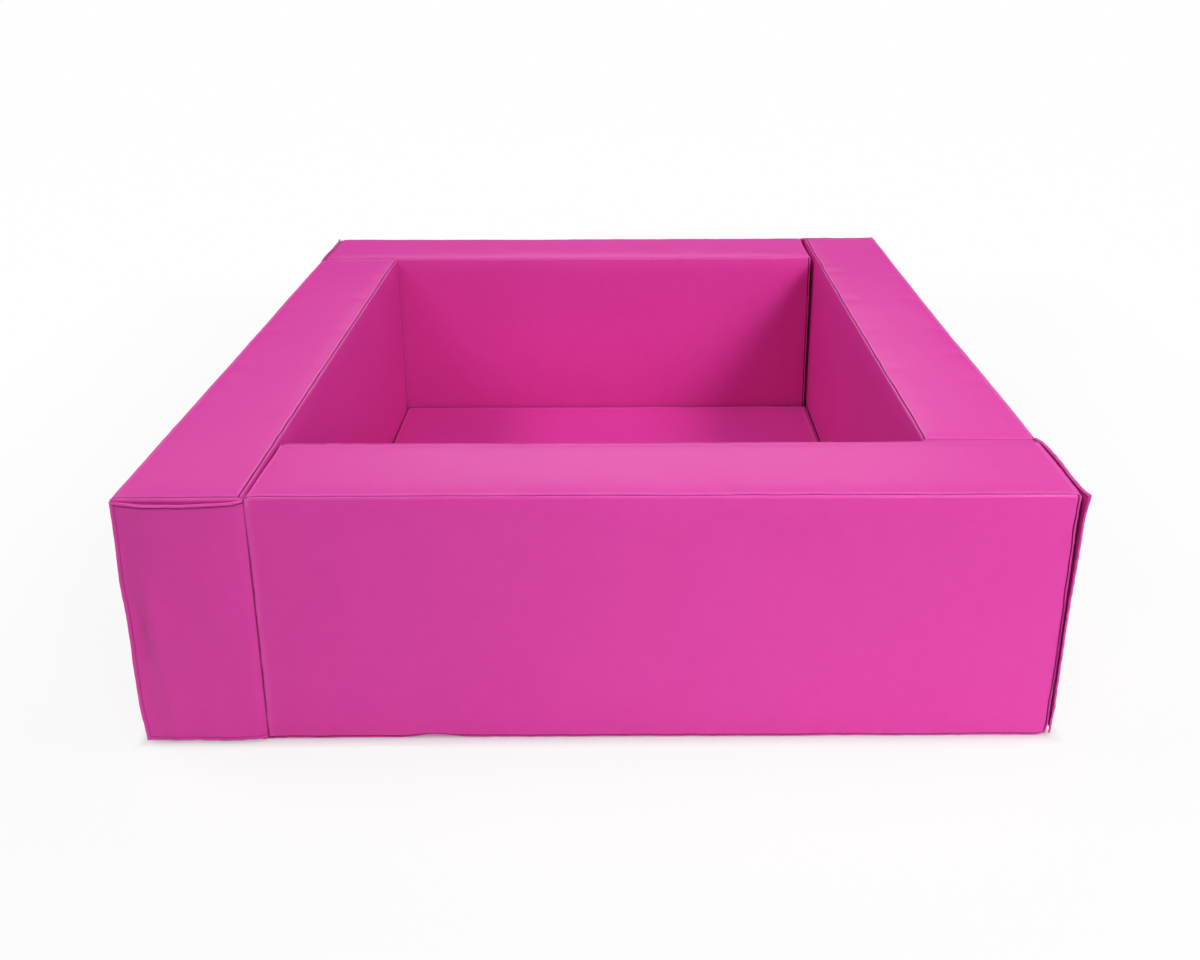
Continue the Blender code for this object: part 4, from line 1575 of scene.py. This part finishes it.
@dataclass
class Flap:
    """A hemmed vinyl flap sewn to a block's face, with hook tape behind it, described as the front wall's.

    Places on it are its reach from the seam and its height above the floor; lift is how far it stands out.
    """

    side: Side
    pivot: tuple[float, float] = (-542 * MM, -748.6 * MM)
    width: float = 213 * MM
    low: float = 6 * MM
    high: float = 444.5 * MM
    sheet: float = 1.9 * MM
    hem: float = 11 * MM
    layers: float = 1.3 * MM
    roll: float = 1.8 * MM
    top_roll: float = 2.8 * MM
    stitch_inset: float = 6.4 * MM
    stitch_pitch: float = 4.6 * MM
    stitch_length: float = 3.4 * MM
    thread_width: float = 0.9 * MM
    step_out: float = 4.6 * MM
    step_reach: float = 26 * MM
    root_sink: float = 1.4 * MM
    root_lean: float = 2.5 * MM
    sewn_reach: float = 6.5 * MM
    tip_close: float = 0.85
    tighten: float = 0.6
    strip_reach: float = 175 * MM
    strip_half: float = 25 * MM
    strip_low: float = 39 * MM
    strip_high: float = 409 * MM
    bend: float = 20 * MM
    free_from: float = 14 * MM
    free_over: float = 45 * MM
    uneven_waves: tuple[float, float] = (0.07, 0.34)
    unevenness: float = 0.55 * MM
    gather_reach: float = 14 * MM
    corner: float = 4 * MM
    hook: tuple[float, float, float] = (0.35 * MM, 0.5 * MM, 0.8 * MM)
    hook_grid: tuple[int, int] = (13, 98)
    stitch_dip: float = 0.35 * MM
    top_stitch_dip: float = 0.6 * MM
    stitch_dip_width: float = 0.8 * MM
    stitch_start: float = 15 * MM
    stitch_sink: float = 0.4 * MM
    leaning: float = 0.22 * MM
    lean_waves: tuple[float, float] = (0.07, 0.35)
    foot_lean: float = 4 * MM
    foot_share: float = 0.15
    gathers: float = 0.22 * MM
    gather_waves: tuple[float, float] = (14 * MM, 60 * MM)
    root_rows: tuple[float, ...] = (0, 1, 2.5, 5)
    cell: tuple[float, float] = (3.6 * MM, 4.2 * MM)
    # Rubbed wear and painted highlight on the rolled hem.
    edge_rub: float = 0.7
    ground: float = 0.6 * MM
    ground_gap: float = 0.3 * MM
    hook_margin: tuple[float, float] = (3.5 * MM, 4 * MM)
    edge_rows: tuple[float, ...] = (0, 0.4, 0.9, 1.6, 2.4, 3.3, 4.2, 5.1, 5.9, 6.6, 7.3, 8.2, 9.6, 11, 12, 13.5)

    def __post_init__(self) -> None:
        """Picks the way that this wall's flap hangs."""
        self.drape = DRAPES[self.side]

    def lift(self, reach: np.ndarray, up: np.ndarray) -> np.ndarray:
        """How far the flap's middle stands out from its seam.

        Args:
            reach: Distances from the seam.
            up: Heights above the floor.

        Returns:
            The lifts.
        """
        drape = self.drape
        strip_start, strip_stop = self.strip_reach - self.strip_half, self.strip_reach + self.strip_half
        sewn = reach - self.sewn_reach
        lift = self.step_out * swell(sewn / (self.step_reach - self.sewn_reach))
        lift = lift - self.root_sink * bell(sewn, 4 * MM)
        lift = lift + drape.belly * np.sin(math.pi * np.clip(reach / strip_start, 0, 1)) ** 2
        lift = lift + drape.curl * np.clip((reach - strip_stop) / (self.width - strip_stop), 0, 1) ** 2
        opened = np.clip((up - self.high + drape.gape_depth) / drape.gape_depth, 0, 1.05)
        tip_share = np.clip((reach - strip_start) / (self.width - strip_start), 0, 1)
        gape = drape.gape * (1 - self.tip_close * tip_share**2) * opened**2
        lift = lift + gape * swell(sewn / drape.gape_reach)
        free = ease((reach - self.free_from) / self.free_over)
        for fold in drape.folds:
            lift = lift + free * fold.lift(reach, up)
        uneven = Waves(drape.seed, *self.uneven_waves, self.unevenness)
        points = np.stack([reach, np.zeros_like(reach), up], -1)
        lift = lift + free * uneven.over(points)
        from_side, from_end = self._margins(reach, up)
        gathers = Waves(drape.seed + 40, *self.gather_waves, self.gathers, 9)
        gathered = gathers.along(np.where(from_side < from_end, up, reach))
        return lift + free * gathered * np.exp(-np.maximum(np.minimum(from_side, from_end), 0) / self.gather_reach)

    def _margins(self, reach: np.ndarray, up: np.ndarray) -> tuple[np.ndarray, np.ndarray]:
        """Distances from the flap's free upright edge, and from the nearer of its top and bottom ones."""
        return self.width - reach, np.minimum(self.high - up, up - self.low)

    def outline(self, reach: np.ndarray, up: np.ndarray) -> tuple[np.ndarray, np.ndarray]:
        """Where a place on the flat flap ends up along and up the hanging one, its edges a little uneven.

        Args:
            reach: Distances from the seam.
            up: Heights above the floor.

        Returns:
            The new reach and height.
        """
        drape = self.drape
        share = np.clip(reach / self.width, 0, 1)
        rise = np.clip((up - self.low) / (self.high - self.low), 0, 1)
        sag = drape.dip * ((2 * share - 1) ** 2 - 0.35) + Waves(drape.seed + 50, 0.05, 0.25, 0.25 * MM).along(reach)
        lean = Waves(drape.seed + 60, *self.lean_waves, self.leaning).along(up)
        lean = lean - self.foot_lean * ease(1 - rise / self.foot_share)
        taken_up, steps = np.zeros_like(reach), 24
        before = np.full_like(reach, self.sewn_reach)
        lift_before = self.lift(before, up)
        for i in range(1, steps + 1):
            here = self.sewn_reach + (reach - self.sewn_reach) * i / steps
            lift_here = self.lift(here, up)
            run = np.maximum(here - before, TINY)
            taken_up = taken_up + np.hypot(run, lift_here - lift_before) - run
            before, lift_before = here, lift_here
        root_lean = self.root_lean * (1 - rise) * (1 - share)
        return reach - self.tighten * taken_up + lean * ease((share - 0.6) / 0.4) + root_lean, up + sag * rise**3

    def frames(self, reach: np.ndarray, up: np.ndarray, out: np.ndarray | float, run: np.ndarray) -> np.ndarray:
        """Places on the hanging flap, each with its X along a direction over the flap and its Z out of the front.

        Args:
            reach: Distances from the seam.
            up: Heights above the floor.
            out: Distances in front of the flap's middle.
            run: The direction at each place, along and up the flap.

        Returns:
            A matrix for each place, in the front wall's frame.
        """
        step = 0.5 * MM
        here = self._point(reach, up, 0.0)
        right = self._point(reach + step, up, 0.0) - here
        above = self._point(reach, up + step, 0.0) - here
        normal = np.cross(right, above)
        normal *= -np.sign(normal[:, 1:2]) / np.linalg.norm(normal, axis=1, keepdims=True)
        along = run[:, :1] * right + run[:, 1:] * above
        along /= np.linalg.norm(along, axis=1, keepdims=True)
        places = np.tile(np.eye(4), (len(reach), 1, 1))
        places[:, :3, 0], places[:, :3, 1], places[:, :3, 2] = along, np.cross(normal, along), normal
        places[:, :3, 3] = here + normal * np.reshape(out, (-1, 1))
        return places

    def _point(self, reach: np.ndarray, up: np.ndarray, out: np.ndarray | float) -> np.ndarray:
        """Points of the hanging flap, straight out from its middle by some distances."""
        lift = self.lift(reach, up)
        along, height = self.outline(reach, up)
        return np.stack([self.pivot[0] - along, self.pivot[1] - lift - out, height], -1)

    def _half_thickness(self, edge: np.ndarray, top: np.ndarray) -> np.ndarray:
        """Half the flap's thickness near its free edges.

        Args:
            edge: Distances from the nearest free edge.
            top: How far that edge is the top one, from 0 to 1, where the hem's roll is fuller.

        Returns:
            The half thickness: a rolled edge, a stitched dip, the turned-in layer, then the single sheet.
        """
        radius = self.roll + (self.top_roll - self.roll) * top
        rolled = radius * np.sqrt(np.clip(1 - (1 - np.clip(edge / radius, 0, 1)) ** 2, 0.02, 1))
        flattened = radius + (self.layers - radius) * ease((edge - radius) / (self.stitch_inset - radius))
        half = np.where(edge < radius, rolled, flattened)
        dip = self.stitch_dip + self.top_stitch_dip * top
        half = half - dip * bell(edge - self.stitch_inset, self.stitch_dip_width)
        return half + (self.sheet / 2 - self.layers) * ease((edge - self.hem) / (1.0 * MM))

    def hang(self, name: str) -> bpy.types.Object:
        """Cuts, hems and hangs the flap.

        Args:
            name: Its name.

        Returns:
            The flap, at its place in the pit.
        """
        fine = np.array(self.edge_rows) * MM
        root = self.sewn_reach + np.array(self.root_rows) * MM
        across = evenly(root[-1], self.width - fine[-1], self.cell[0])
        upright = evenly(self.low + fine[-1], self.high - fine[-1], self.cell[1])
        reaches = np.unique(np.concatenate([root, across, self.width - fine]))
        ups = np.unique(np.concatenate([self.low + fine, upright, self.high - fine]))
        middle = (-(self.width + self.sewn_reach) / 2, 0, (self.low + self.high) / 2)
        flap = Bench.block(name, (self.width - self.sewn_reach, 1 * MM, self.high - self.low), middle)
        Bench.divide(flap, [-reaches[::-1], (-0.5 * MM, 0.5 * MM), ups])
        flat = Bench.points(flap)
        reach, outer, up = -flat[:, 0], flat[:, 1] < 0, flat[:, 2]
        edge = np.maximum(np.minimum(*self._margins(reach, up)), 0)
        at_top = ease((edge + 2 * MM - self.high + up) / (2 * MM))
        half = self._half_thickness(edge, at_top)
        points = self._point(reach, up, np.where(outer, half, -half))
        Bench.place_points(flap, points)
        # Painted shade at the sewn root and along the hem's stitched grooves, fuller at the top hem; rubbed wear and
        # painted highlight on the rolled hem.
        root = bell(reach - self.sewn_reach, 1.5 * MM)
        groove_shade = (0.5 + 0.5 * at_top) * bell(edge - self.stitch_inset + 0.5 * MM * at_top, (0.7 + 0.6 * at_top) * MM)
        Bench.note(flap, "seam", np.maximum(groove_shade, root))
        Bench.note(flap, "rub", self.edge_rub * bell(edge - 1.6 * MM, 1.4 * MM))
        return Bench.hand_over(flap, self.side.turn, VINYL)

    def stitch(self, name: str) -> bpy.types.Object:
        """Sews the hem: a row of stitches on both sides of the flap, along its three free edges.

        Args:
            name: The stitches' name.

        Returns:
            The stitches as one piece.
        """
        inset = self.stitch_inset
        left, top, bottom = self.width - inset, self.high - inset, self.low + inset
        start = self.stitch_start
        corners = np.array([(start, bottom), (left, bottom), (left, top), (start, top)])
        rows = []
        for begin, end in zip(corners, corners[1:]):
            count = int(np.linalg.norm(end - begin) / self.stitch_pitch)
            shares = (np.arange(count) + 0.5)[:, None] / count
            rows.append(np.hstack([begin + (end - begin) * shares, np.tile(end - begin, (count, 1))]))
        sewn = np.vstack(rows)
        out = self.layers - self.stitch_sink
        places = np.vstack([self.frames(sewn[:, 0], sewn[:, 1], face * out, sewn[:, 2:]) for face in (1, -1)])
        Bench.clear_hands()
        bpy.ops.mesh.primitive_uv_sphere_add(segments=6, ring_count=4, radius=0.5)
        stitch = bpy.context.active_object
        stitch.scale = (self.stitch_length, self.thread_width, self.thread_width)
        bpy.ops.object.transform_apply(location=False, rotation=False, scale=True)
        return Bench.hand_over(Bench.stamp(name, stitch, places), self.side.turn, THREAD)

    def hook_tape(self, name: str) -> bpy.types.Object:
        """Makes the hook tape behind the flap: a ground strip with rows of hooks.

        Args:
            name: Its name.

        Returns:
            The tape, at its place in the pit.
        """
        ground, low, high = self.ground, self.strip_low, self.strip_high
        start, stop = self.strip_reach - self.strip_half, self.strip_reach + self.strip_half
        strip = Bench.block(name, (stop - start, ground, high - low), (-self.strip_reach, 0, (low + high) / 2))
        tables = [np.linspace(-stop, -start, 14), (-ground / 2, ground / 2), np.linspace(low, high, 75)]
        Bench.divide(strip, tables)
        flat = Bench.points(strip)
        centre = np.array([self.strip_reach, (low + high) / 2])
        from_centre = np.stack([-flat[:, 0], flat[:, 2]], 1) - centre
        past_corner = np.maximum(np.abs(from_centre) - (self.strip_half, (high - low) / 2) + self.corner, 0)
        cut_back = 1 - np.minimum(1, self.corner / np.maximum(np.hypot(*past_corner.T), TINY))
        reach, up = (centre + from_centre - np.sign(from_centre) * past_corner * cut_back[:, None]).T
        behind = self.sheet / 2 + self.ground_gap + ground / 2
        Bench.place_points(strip, self._point(reach, up, -behind - flat[:, 1]))
        hook = Bench.block("tape_hook", self.hook, (0, 0, -self.hook[2] / 2))
        with Bench.editing(hook, "FACE"):
            Bench.pick_faces(hook, lambda f: f.normal.z < -ALIGNED)
            bpy.ops.mesh.extrude_region_move(TRANSFORM_OT_translate={"value": (self.hook[0], 0, -0.15 * MM)})
        (columns, rows), (beside, above) = self.hook_grid, self.hook_margin
        across, heights = np.meshgrid(
            np.linspace(start + beside, stop - beside, columns), np.linspace(low + above, high - above, rows)
        )
        upwards = np.tile([0.0, 1.0], (across.size, 1))
        places = self.frames(across.ravel(), heights.ravel(), -(behind + ground / 2 - 0.1 * MM), upwards)
        Bench.join([strip, Bench.stamp(name + "_hooks", hook, places)])
        return Bench.hand_over(strip, self.side.turn, HOOKS, 40)


@dataclass
class LoopTape:
    """The loop tape sewn to a block's covered end, described as the front wall's."""

    seat: float = 748.8 * MM
    middle: float = -717 * MM
    half: float = 25 * MM
    low: float = 39 * MM
    high: float = 409 * MM
    ground: float = 0.5 * MM
    pile: float = 0.7 * MM
    border: float = 2.2 * MM
    edge_rows: tuple[float, ...] = (0, 1.2, 2.0, 2.6)
    inner_row: float = 4 * MM
    inner_rows: tuple[int, int] = (22, 182)
    nap_waves: tuple[float, float] = (3 * MM, 9 * MM)
    least_nap: float = 0.45
    border_slope: float = 1.5 * MM

    def _rows(self, length: float, count: int) -> np.ndarray:
        """Places along a side: a number of even ones, and closer ones at both ends."""
        edge, inner = np.array(self.edge_rows) * MM, self.inner_row
        return np.concatenate([edge, np.linspace(inner, length - inner, count), length - edge[::-1]])

    def sew(self, name: str, seed: int, move: Matrix) -> bpy.types.Object:
        """Makes the tape.

        Args:
            name: Its name.
            seed: The seed of its nap.
            move: From the front wall's frame to where it is sewn.

        Returns:
            The tape.
        """
        thick = self.ground + self.pile
        middle = (self.seat + thick / 2, self.middle, (self.low + self.high) / 2)
        strip = Bench.block(name, (thick, 2 * self.half, self.high - self.low), middle)
        sides = (2 * self.half, self.high - self.low)
        across, up = (self._rows(side, count) for side, count in zip(sides, self.inner_rows))
        Bench.divide(strip, [(self.seat, self.seat + thick), self.middle - self.half + across, self.low + up])
        points = Bench.points(strip)
        outer = points[:, 0] > self.seat + thick / 2
        from_side = self.half - np.abs(points[:, 1] - self.middle)
        from_end = np.minimum(points[:, 2] - self.low, self.high - points[:, 2])
        edge = np.minimum(from_side, from_end)
        nap = 0.5 + 0.5 * np.tanh(Waves(seed, *self.nap_waves, 1.0, 16).over(points))
        pile = self.pile * (self.least_nap + (1 - self.least_nap) * nap)
        height = self.ground + pile * ease((edge - self.border) / self.border_slope)
        points[:, 0] = np.where(outer, self.seat + height, self.seat)
        Bench.place_points(strip, points)
        return Bench.hand_over(strip, move, LOOPS, 50)


# ---------------------------------------------------------------------------------------------- assemblies


def report(piece: bpy.types.Object, what: str) -> None:
    """Logs a finished piece with its size."""
    LOG.info("%s: %s, %d faces", piece.name, what, len(piece.data.polygons))


@dataclass
class WallBlock:
    """One wall of the pit with all that is sewn to it."""

    side: Side
    cover_maker: SewnCover
    foam_maker: FoamBlock
    zip_maker: ZipChain
    middle: tuple[float, float] = (100.25 * MM, -650 * MM)

    def build(self) -> None:
        """Makes the wall's pieces and hands all but the flap's sheet and stitches to their CAD bodies."""
        side = self.side
        move = side.turn @ Matrix.Translation((*self.middle, 0))
        seed = 3 + side.value

        cover = self.cover_maker.sew(f"{side.word}_block_cover", seed, move, WALL_DENTS[side], TIGHT_EDGES[side])
        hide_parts(side.node("cover"))
        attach(cover, side.body)
        report(cover, "zipped vinyl cover")

        foam = self.foam_maker.cut(f"{side.word}_block_foam", seed, move, WALL_DENTS[side])
        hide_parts(side.node("foam_core"))
        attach(foam, side.body)
        report(foam, "foam block")

        tape = self.zip_maker.tape(f"{side.word}_block_zip_tape", move)
        teeth = self.zip_maker.teeth(f"{side.word}_block_zip_teeth", move)
        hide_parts(side.node("zip_tape"))
        for piece, what in ((tape, "zip tape"), (teeth, "zip teeth")):
            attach(piece, side.body)
            report(piece, what)

        loops = LoopTape().sew(f"{side.word}_block_loop_tape", seed, side.turn)
        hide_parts(side.node("loop_strip"))
        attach(loops, side.body)
        report(loops, "loop tape")
        self._hang_flap()
        for part in ("zip_slider", "zip_pull"):
            RACK.coat(frame["nodes"][side.node(part)], NICKEL)

    def _hang_flap(self) -> None:
        """Makes the flap, its stitches and its hook tape."""
        side = self.side
        flap = Flap(side)
        sheet = flap.hang(f"{side.word}_flap_sheet")
        stitches = flap.stitch(f"{side.word}_flap_stitches")
        hooks = flap.hook_tape(f"{side.word}_flap_hook_tape")
        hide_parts(side.node("flap"))
        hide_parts(side.node("hook_strip"))
        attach(hooks, side.flap_body)
        root, height = flap.pivot[0] - flap.sewn_reach, 0.2
        start, end = (side.turn @ Vector((x, flap.pivot[1], height)) for x in (root, root - flap.bend))
        for piece in (sheet, stitches):
            side.body
            side.flap_body
            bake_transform(piece)
            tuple(start)
            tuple(end)
        side.node("cover")
        for piece, what in ((sheet, "hemmed flap"), (stitches, "hem stitches"), (hooks, "hook tape")):
            report(piece, what)


SEWN_EDGE = Dent((-0.648, -0.097, 0.22), (0.009, 0.008, 2.0), (-4.4 * MM, -1.7 * MM, 0))
TIGHT_EDGES = {Side.FRONT: Edge.END, Side.RIGHT: Edge.OUTER, Side.BACK: Edge.NONE, Side.LEFT: Edge.OUTER}
WALL_DENTS: dict[Side, tuple[Dent, ...]] = {
    Side.FRONT: (
        SEWN_EDGE,
        Dent((-0.648, -0.03, 0.449), (0.012, 0.07, 0.30), (-3.0 * MM, 0, 0)),
        Dent((0.648, 0, 0.447), (0.06, 0.09, 0.022), (4.0 * MM, 0, 0)),
        Dent((-0.648, -0.097, 0.0), (0.009, 0.02, 0.25), (-2.8 * MM, 0, 0)),
        Dent((-0.375, -0.097, 0.0), (0.035, 0.02, 0.012), (0, 1.5 * MM, 5 * MM)),
        Dent((0.648, -0.097, 0.0), (0.05, 0.10, 0.10), (-4 * MM, 0, 0)),
        Dent((0.648, -0.097, 0.0), (0.012, 0.012, 0.014), (-3 * MM, 2 * MM, 3 * MM)),
        Dent((0.30, 0.0, 0.449), (0.25, 0.08, 0.05), (0, 0, -1.2 * MM)),
    ),
    Side.RIGHT: (
        SEWN_EDGE,
        Dent((-0.3, 0.05, 0.449), (0.3, 0.08, 0.05), (0, 0, -1.0 * MM)),
        Dent((0.1, -0.097, 0.42), (1.4, 0.10, 0.35), (0, -3.5 * MM, 0)),
        Dent((0.648, 0.0, 0.30), (0.35, 0.6, 0.9), (0, -4 * MM, 0)),
        Dent((0.40, 0.097, 0.40), (0.02, 0.03, 0.12), (0, -2 * MM, 0)),
    ),
    Side.BACK: (
        SEWN_EDGE,
        Dent((-0.648, 0.097, 0.20), (0.085, 0.05, 0.5), (0, -7 * MM, 0)),
        Dent((-0.648, 0.05, 0.44), (0.04, 0.2, 0.10), (3 * MM, 0, 0)),
        Dent((-0.575, 0.097, 0.30), (0.018, 0.05, 0.35), (0, 1.2 * MM, 0)),
        Dent((0.44, 0.097, 0.16), (0.10, 0.04, 0.15), (0, -5 * MM, 0)),
        Dent((0.52, 0.097, 0.25), (0.03, 0.04, 0.6), (0, -3 * MM, 0)),
        Dent((-0.05, 0.097, 0.10), (0.02, 0.04, 0.20), (0, -0.8 * MM, 0)),
    ),
    Side.LEFT: (
        SEWN_EDGE,
        Dent((0.2, -0.03, 0.449), (0.35, 0.07, 0.05), (0, 0, -1.2 * MM)),
        Dent((0.25, -0.097, 0.42), (1.4, 0.10, 0.35), (0, -10.5 * MM, 0)),
    ),
}


@dataclass
class FloorMat:
    """The thin padded mat inside the walls, with its foam and its zip underneath."""

    cover_maker: SewnCover
    foam_maker: FoamBlock
    zip_maker: ZipChain

    def build(self) -> None:
        """Makes the mat's pieces and hands each to its CAD body."""
        here = Matrix.Identity(4)
        cover = self.cover_maker.sew("mat_skin", 9, here)
        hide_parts("mat_cover")
        foam = self.foam_maker.cut("mat_foam", 9, here)
        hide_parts("mat_foam_core")
        tape = self.zip_maker.tape("mat_zip_weave", here)
        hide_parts("mat_zip_tape")
        teeth = self.zip_maker.teeth("mat_zip_teeth", here)
        for piece, what in ((cover, "mat cover"), (foam, "mat foam"), (tape, "zip tape"), (teeth, "zip teeth")):
            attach(piece, "mat")
            report(piece, what)
        for part in ("mat_zip_slider", "mat_zip_pull"):
            RACK.coat(frame["nodes"][part], NICKEL)


@dataclass(frozen=True)
class Softbox:
    """A soft rectangular light: where it hangs, what it looks at, its sides, its watts and its spread in degrees."""

    name: str
    place: tuple[float, float, float]
    target: tuple[float, float, float]
    size: tuple[float, float]
    watts: float
    spread: float

    def hang(self) -> None:
        """Adds the light."""
        data = bpy.data.lights.new(self.name, "AREA")
        data.shape = "RECTANGLE"
        data.size, data.size_y = self.size
        data.energy = self.watts
        data.spread = math.radians(self.spread)
        light = bpy.data.objects.new(self.name, data)
        bpy.context.scene.collection.objects.link(light)
        light.location = self.place
        light.rotation_euler = (Vector(self.target) - Vector(self.place)).to_track_quat("-Z", "Y").to_euler()


SOFTBOXES = (
    Softbox("key_softbox", (3.3, -5.0, 4.0), (0.9, -0.4, 0.2), (1.8, 1.4), 11.4, 50),
    Softbox("low_key_softbox", (2.6, -5.6, 2.2), (0.9, -0.4, 0.2), (1.8, 1.4), 8.5, 50),
    Softbox("fill_softbox", (-2.9, -5.0, 4.4), (0.5, 0.5, 0.25), (1.8, 1.4), 5, 50),
    Softbox("overhead_softbox", (0.1, -1.5, 4.2), (0, -0.4, 0), (2.0, 1.2), 20, 180),
    Softbox("back_softbox", (0.2, 4.2, 2.4), (0, -0.5, 0.4), (3.4, 1.8), 40, 180),
    Softbox("right_softbox", (3.4, -0.6, 4.0), (0, 0, 0.2), (1.6, 1.4), 26, 120),
    Softbox("left_softbox", (-3.4, 0.3, 4.0), (0, 0, 0.2), (1.6, 1.4), 31, 120),
)


@dataclass
class Studio:
    """The camera, the pale floor and the soft lights."""

    camera_place: tuple[float, float, float] = (0.0301, -2.2942, 1.2894)
    pitch: float = 17.324
    yaw: float = -0.17
    roll: float = -0.131
    lens: float = 33.52
    shift: tuple[float, float] = (-0.0173, -0.1710)
    sensor: float = 36
    sky: float = 0.22
    floor_side: float = 40
    floor_drop: float = 0.4 * MM

    def build(self) -> None:
        """Sets up the studio."""
        self._add_camera()
        self._add_floor()
        self._light_sky()
        for softbox in SOFTBOXES:
            softbox.hang()
        bpy.context.scene.view_settings.view_transform = "Standard"

    def _add_camera(self) -> None:
        """Puts the camera where the photograph was taken from."""
        data = bpy.data.cameras.new("studio_camera")
        camera = bpy.data.objects.new("studio_camera", data)
        bpy.context.scene.collection.objects.link(camera)
        turn = Matrix.Rotation(math.radians(self.yaw), 3, "Z")
        pitch, roll = math.radians(self.pitch), math.radians(self.roll)
        ahead = turn @ Vector((0, math.cos(pitch), -math.sin(pitch)))
        level = turn @ Vector((1, 0, 0))
        above = level.cross(ahead)
        right = math.cos(roll) * level + math.sin(roll) * above
        up = math.cos(roll) * above - math.sin(roll) * level
        axes = Matrix((right, up, -ahead)).transposed().to_4x4()
        camera.matrix_world = Matrix.Translation(self.camera_place) @ axes
        data.lens = self.lens
        data.sensor_width = self.sensor
        data.sensor_fit = "HORIZONTAL"
        data.shift_x, data.shift_y = self.shift
        data.clip_end = 100
        bpy.context.scene.camera = camera

    def _add_floor(self) -> None:
        """Lays the floor just under the pit."""
        Bench.clear_hands()
        bpy.ops.mesh.primitive_grid_add(
            x_subdivisions=8, y_subdivisions=8, size=self.floor_side, location=(0, 0, -self.floor_drop)
        )
        floor = bpy.context.active_object
        bpy.ops.object.transform_apply(location=True, rotation=False, scale=False)
        floor.name = floor.data.name = "studio_floor"
        RACK.coat(floor, StudioWhite())

    def _light_sky(self) -> None:
        """Makes the sky plain white to the camera and in reflections, and softer as a light."""
        recipe = Recipe("studio_sky", sky=True)
        dim, white = (
            recipe.node("ShaderNodeBackground", {}, {"Color": WHITE, "Strength": strength})
            for strength in (self.sky, 1.0)
        )
        seen = seen_directly(recipe)
        bpy.context.scene.world = recipe.surface(recipe.node("ShaderNodeMixShader", {}, {0: seen, 1: dim, 2: white}))


def main() -> None:
    """Builds the pit and the studio round it."""
    logging.basicConfig(level=logging.INFO, format="%(message)s")
    block_size = (1296.5 * MM, 194 * MM, 447 * MM)
    wall_zip = 1106.5 * MM
    cover = SewnCover("wall", block_size, wall_zip)
    foam = FoamBlock(block_size, wall_zip)
    chain = ZipChain(wall_zip)
    for side in Side:
        WallBlock(side, cover, foam, chain).build()
    bpy.data.objects.remove(cover.blank)

    mat_size = (1098 * MM, 1098 * MM, 20 * MM)
    mat_zip, mat_zip_offset = 900 * MM, -423 * MM
    mat_cover = SewnCover(
        "mat",
        mat_size,
        mat_zip,
        mat_zip_offset,
        cell=12 * MM,
        top_rise=2 * MM,
        side_rise=2.8 * MM,
        edge_draw=0.2 * MM,
        edge_radius=3.4 * MM,
        seam_inset=4.3 * MM,
        foot_inset=4.3 * MM,
        crease_depth=1.2 * MM,
        ripple=0.35 * MM,
        fine_rows=(0, 1.2, 2.4, 3.3, 3.9, 4.3, 4.7, 5.3, 6.3, 8),
    )
    mat_foam = FoamBlock(mat_size, mat_zip, mat_zip_offset, inset=2.6 * MM, corner=4 * MM)
    FloorMat(mat_cover, mat_foam, ZipChain(mat_zip, mat_zip_offset)).build()
    bpy.data.objects.remove(mat_cover.blank)
    Studio().build()


if __name__ == "__main__":
    main()
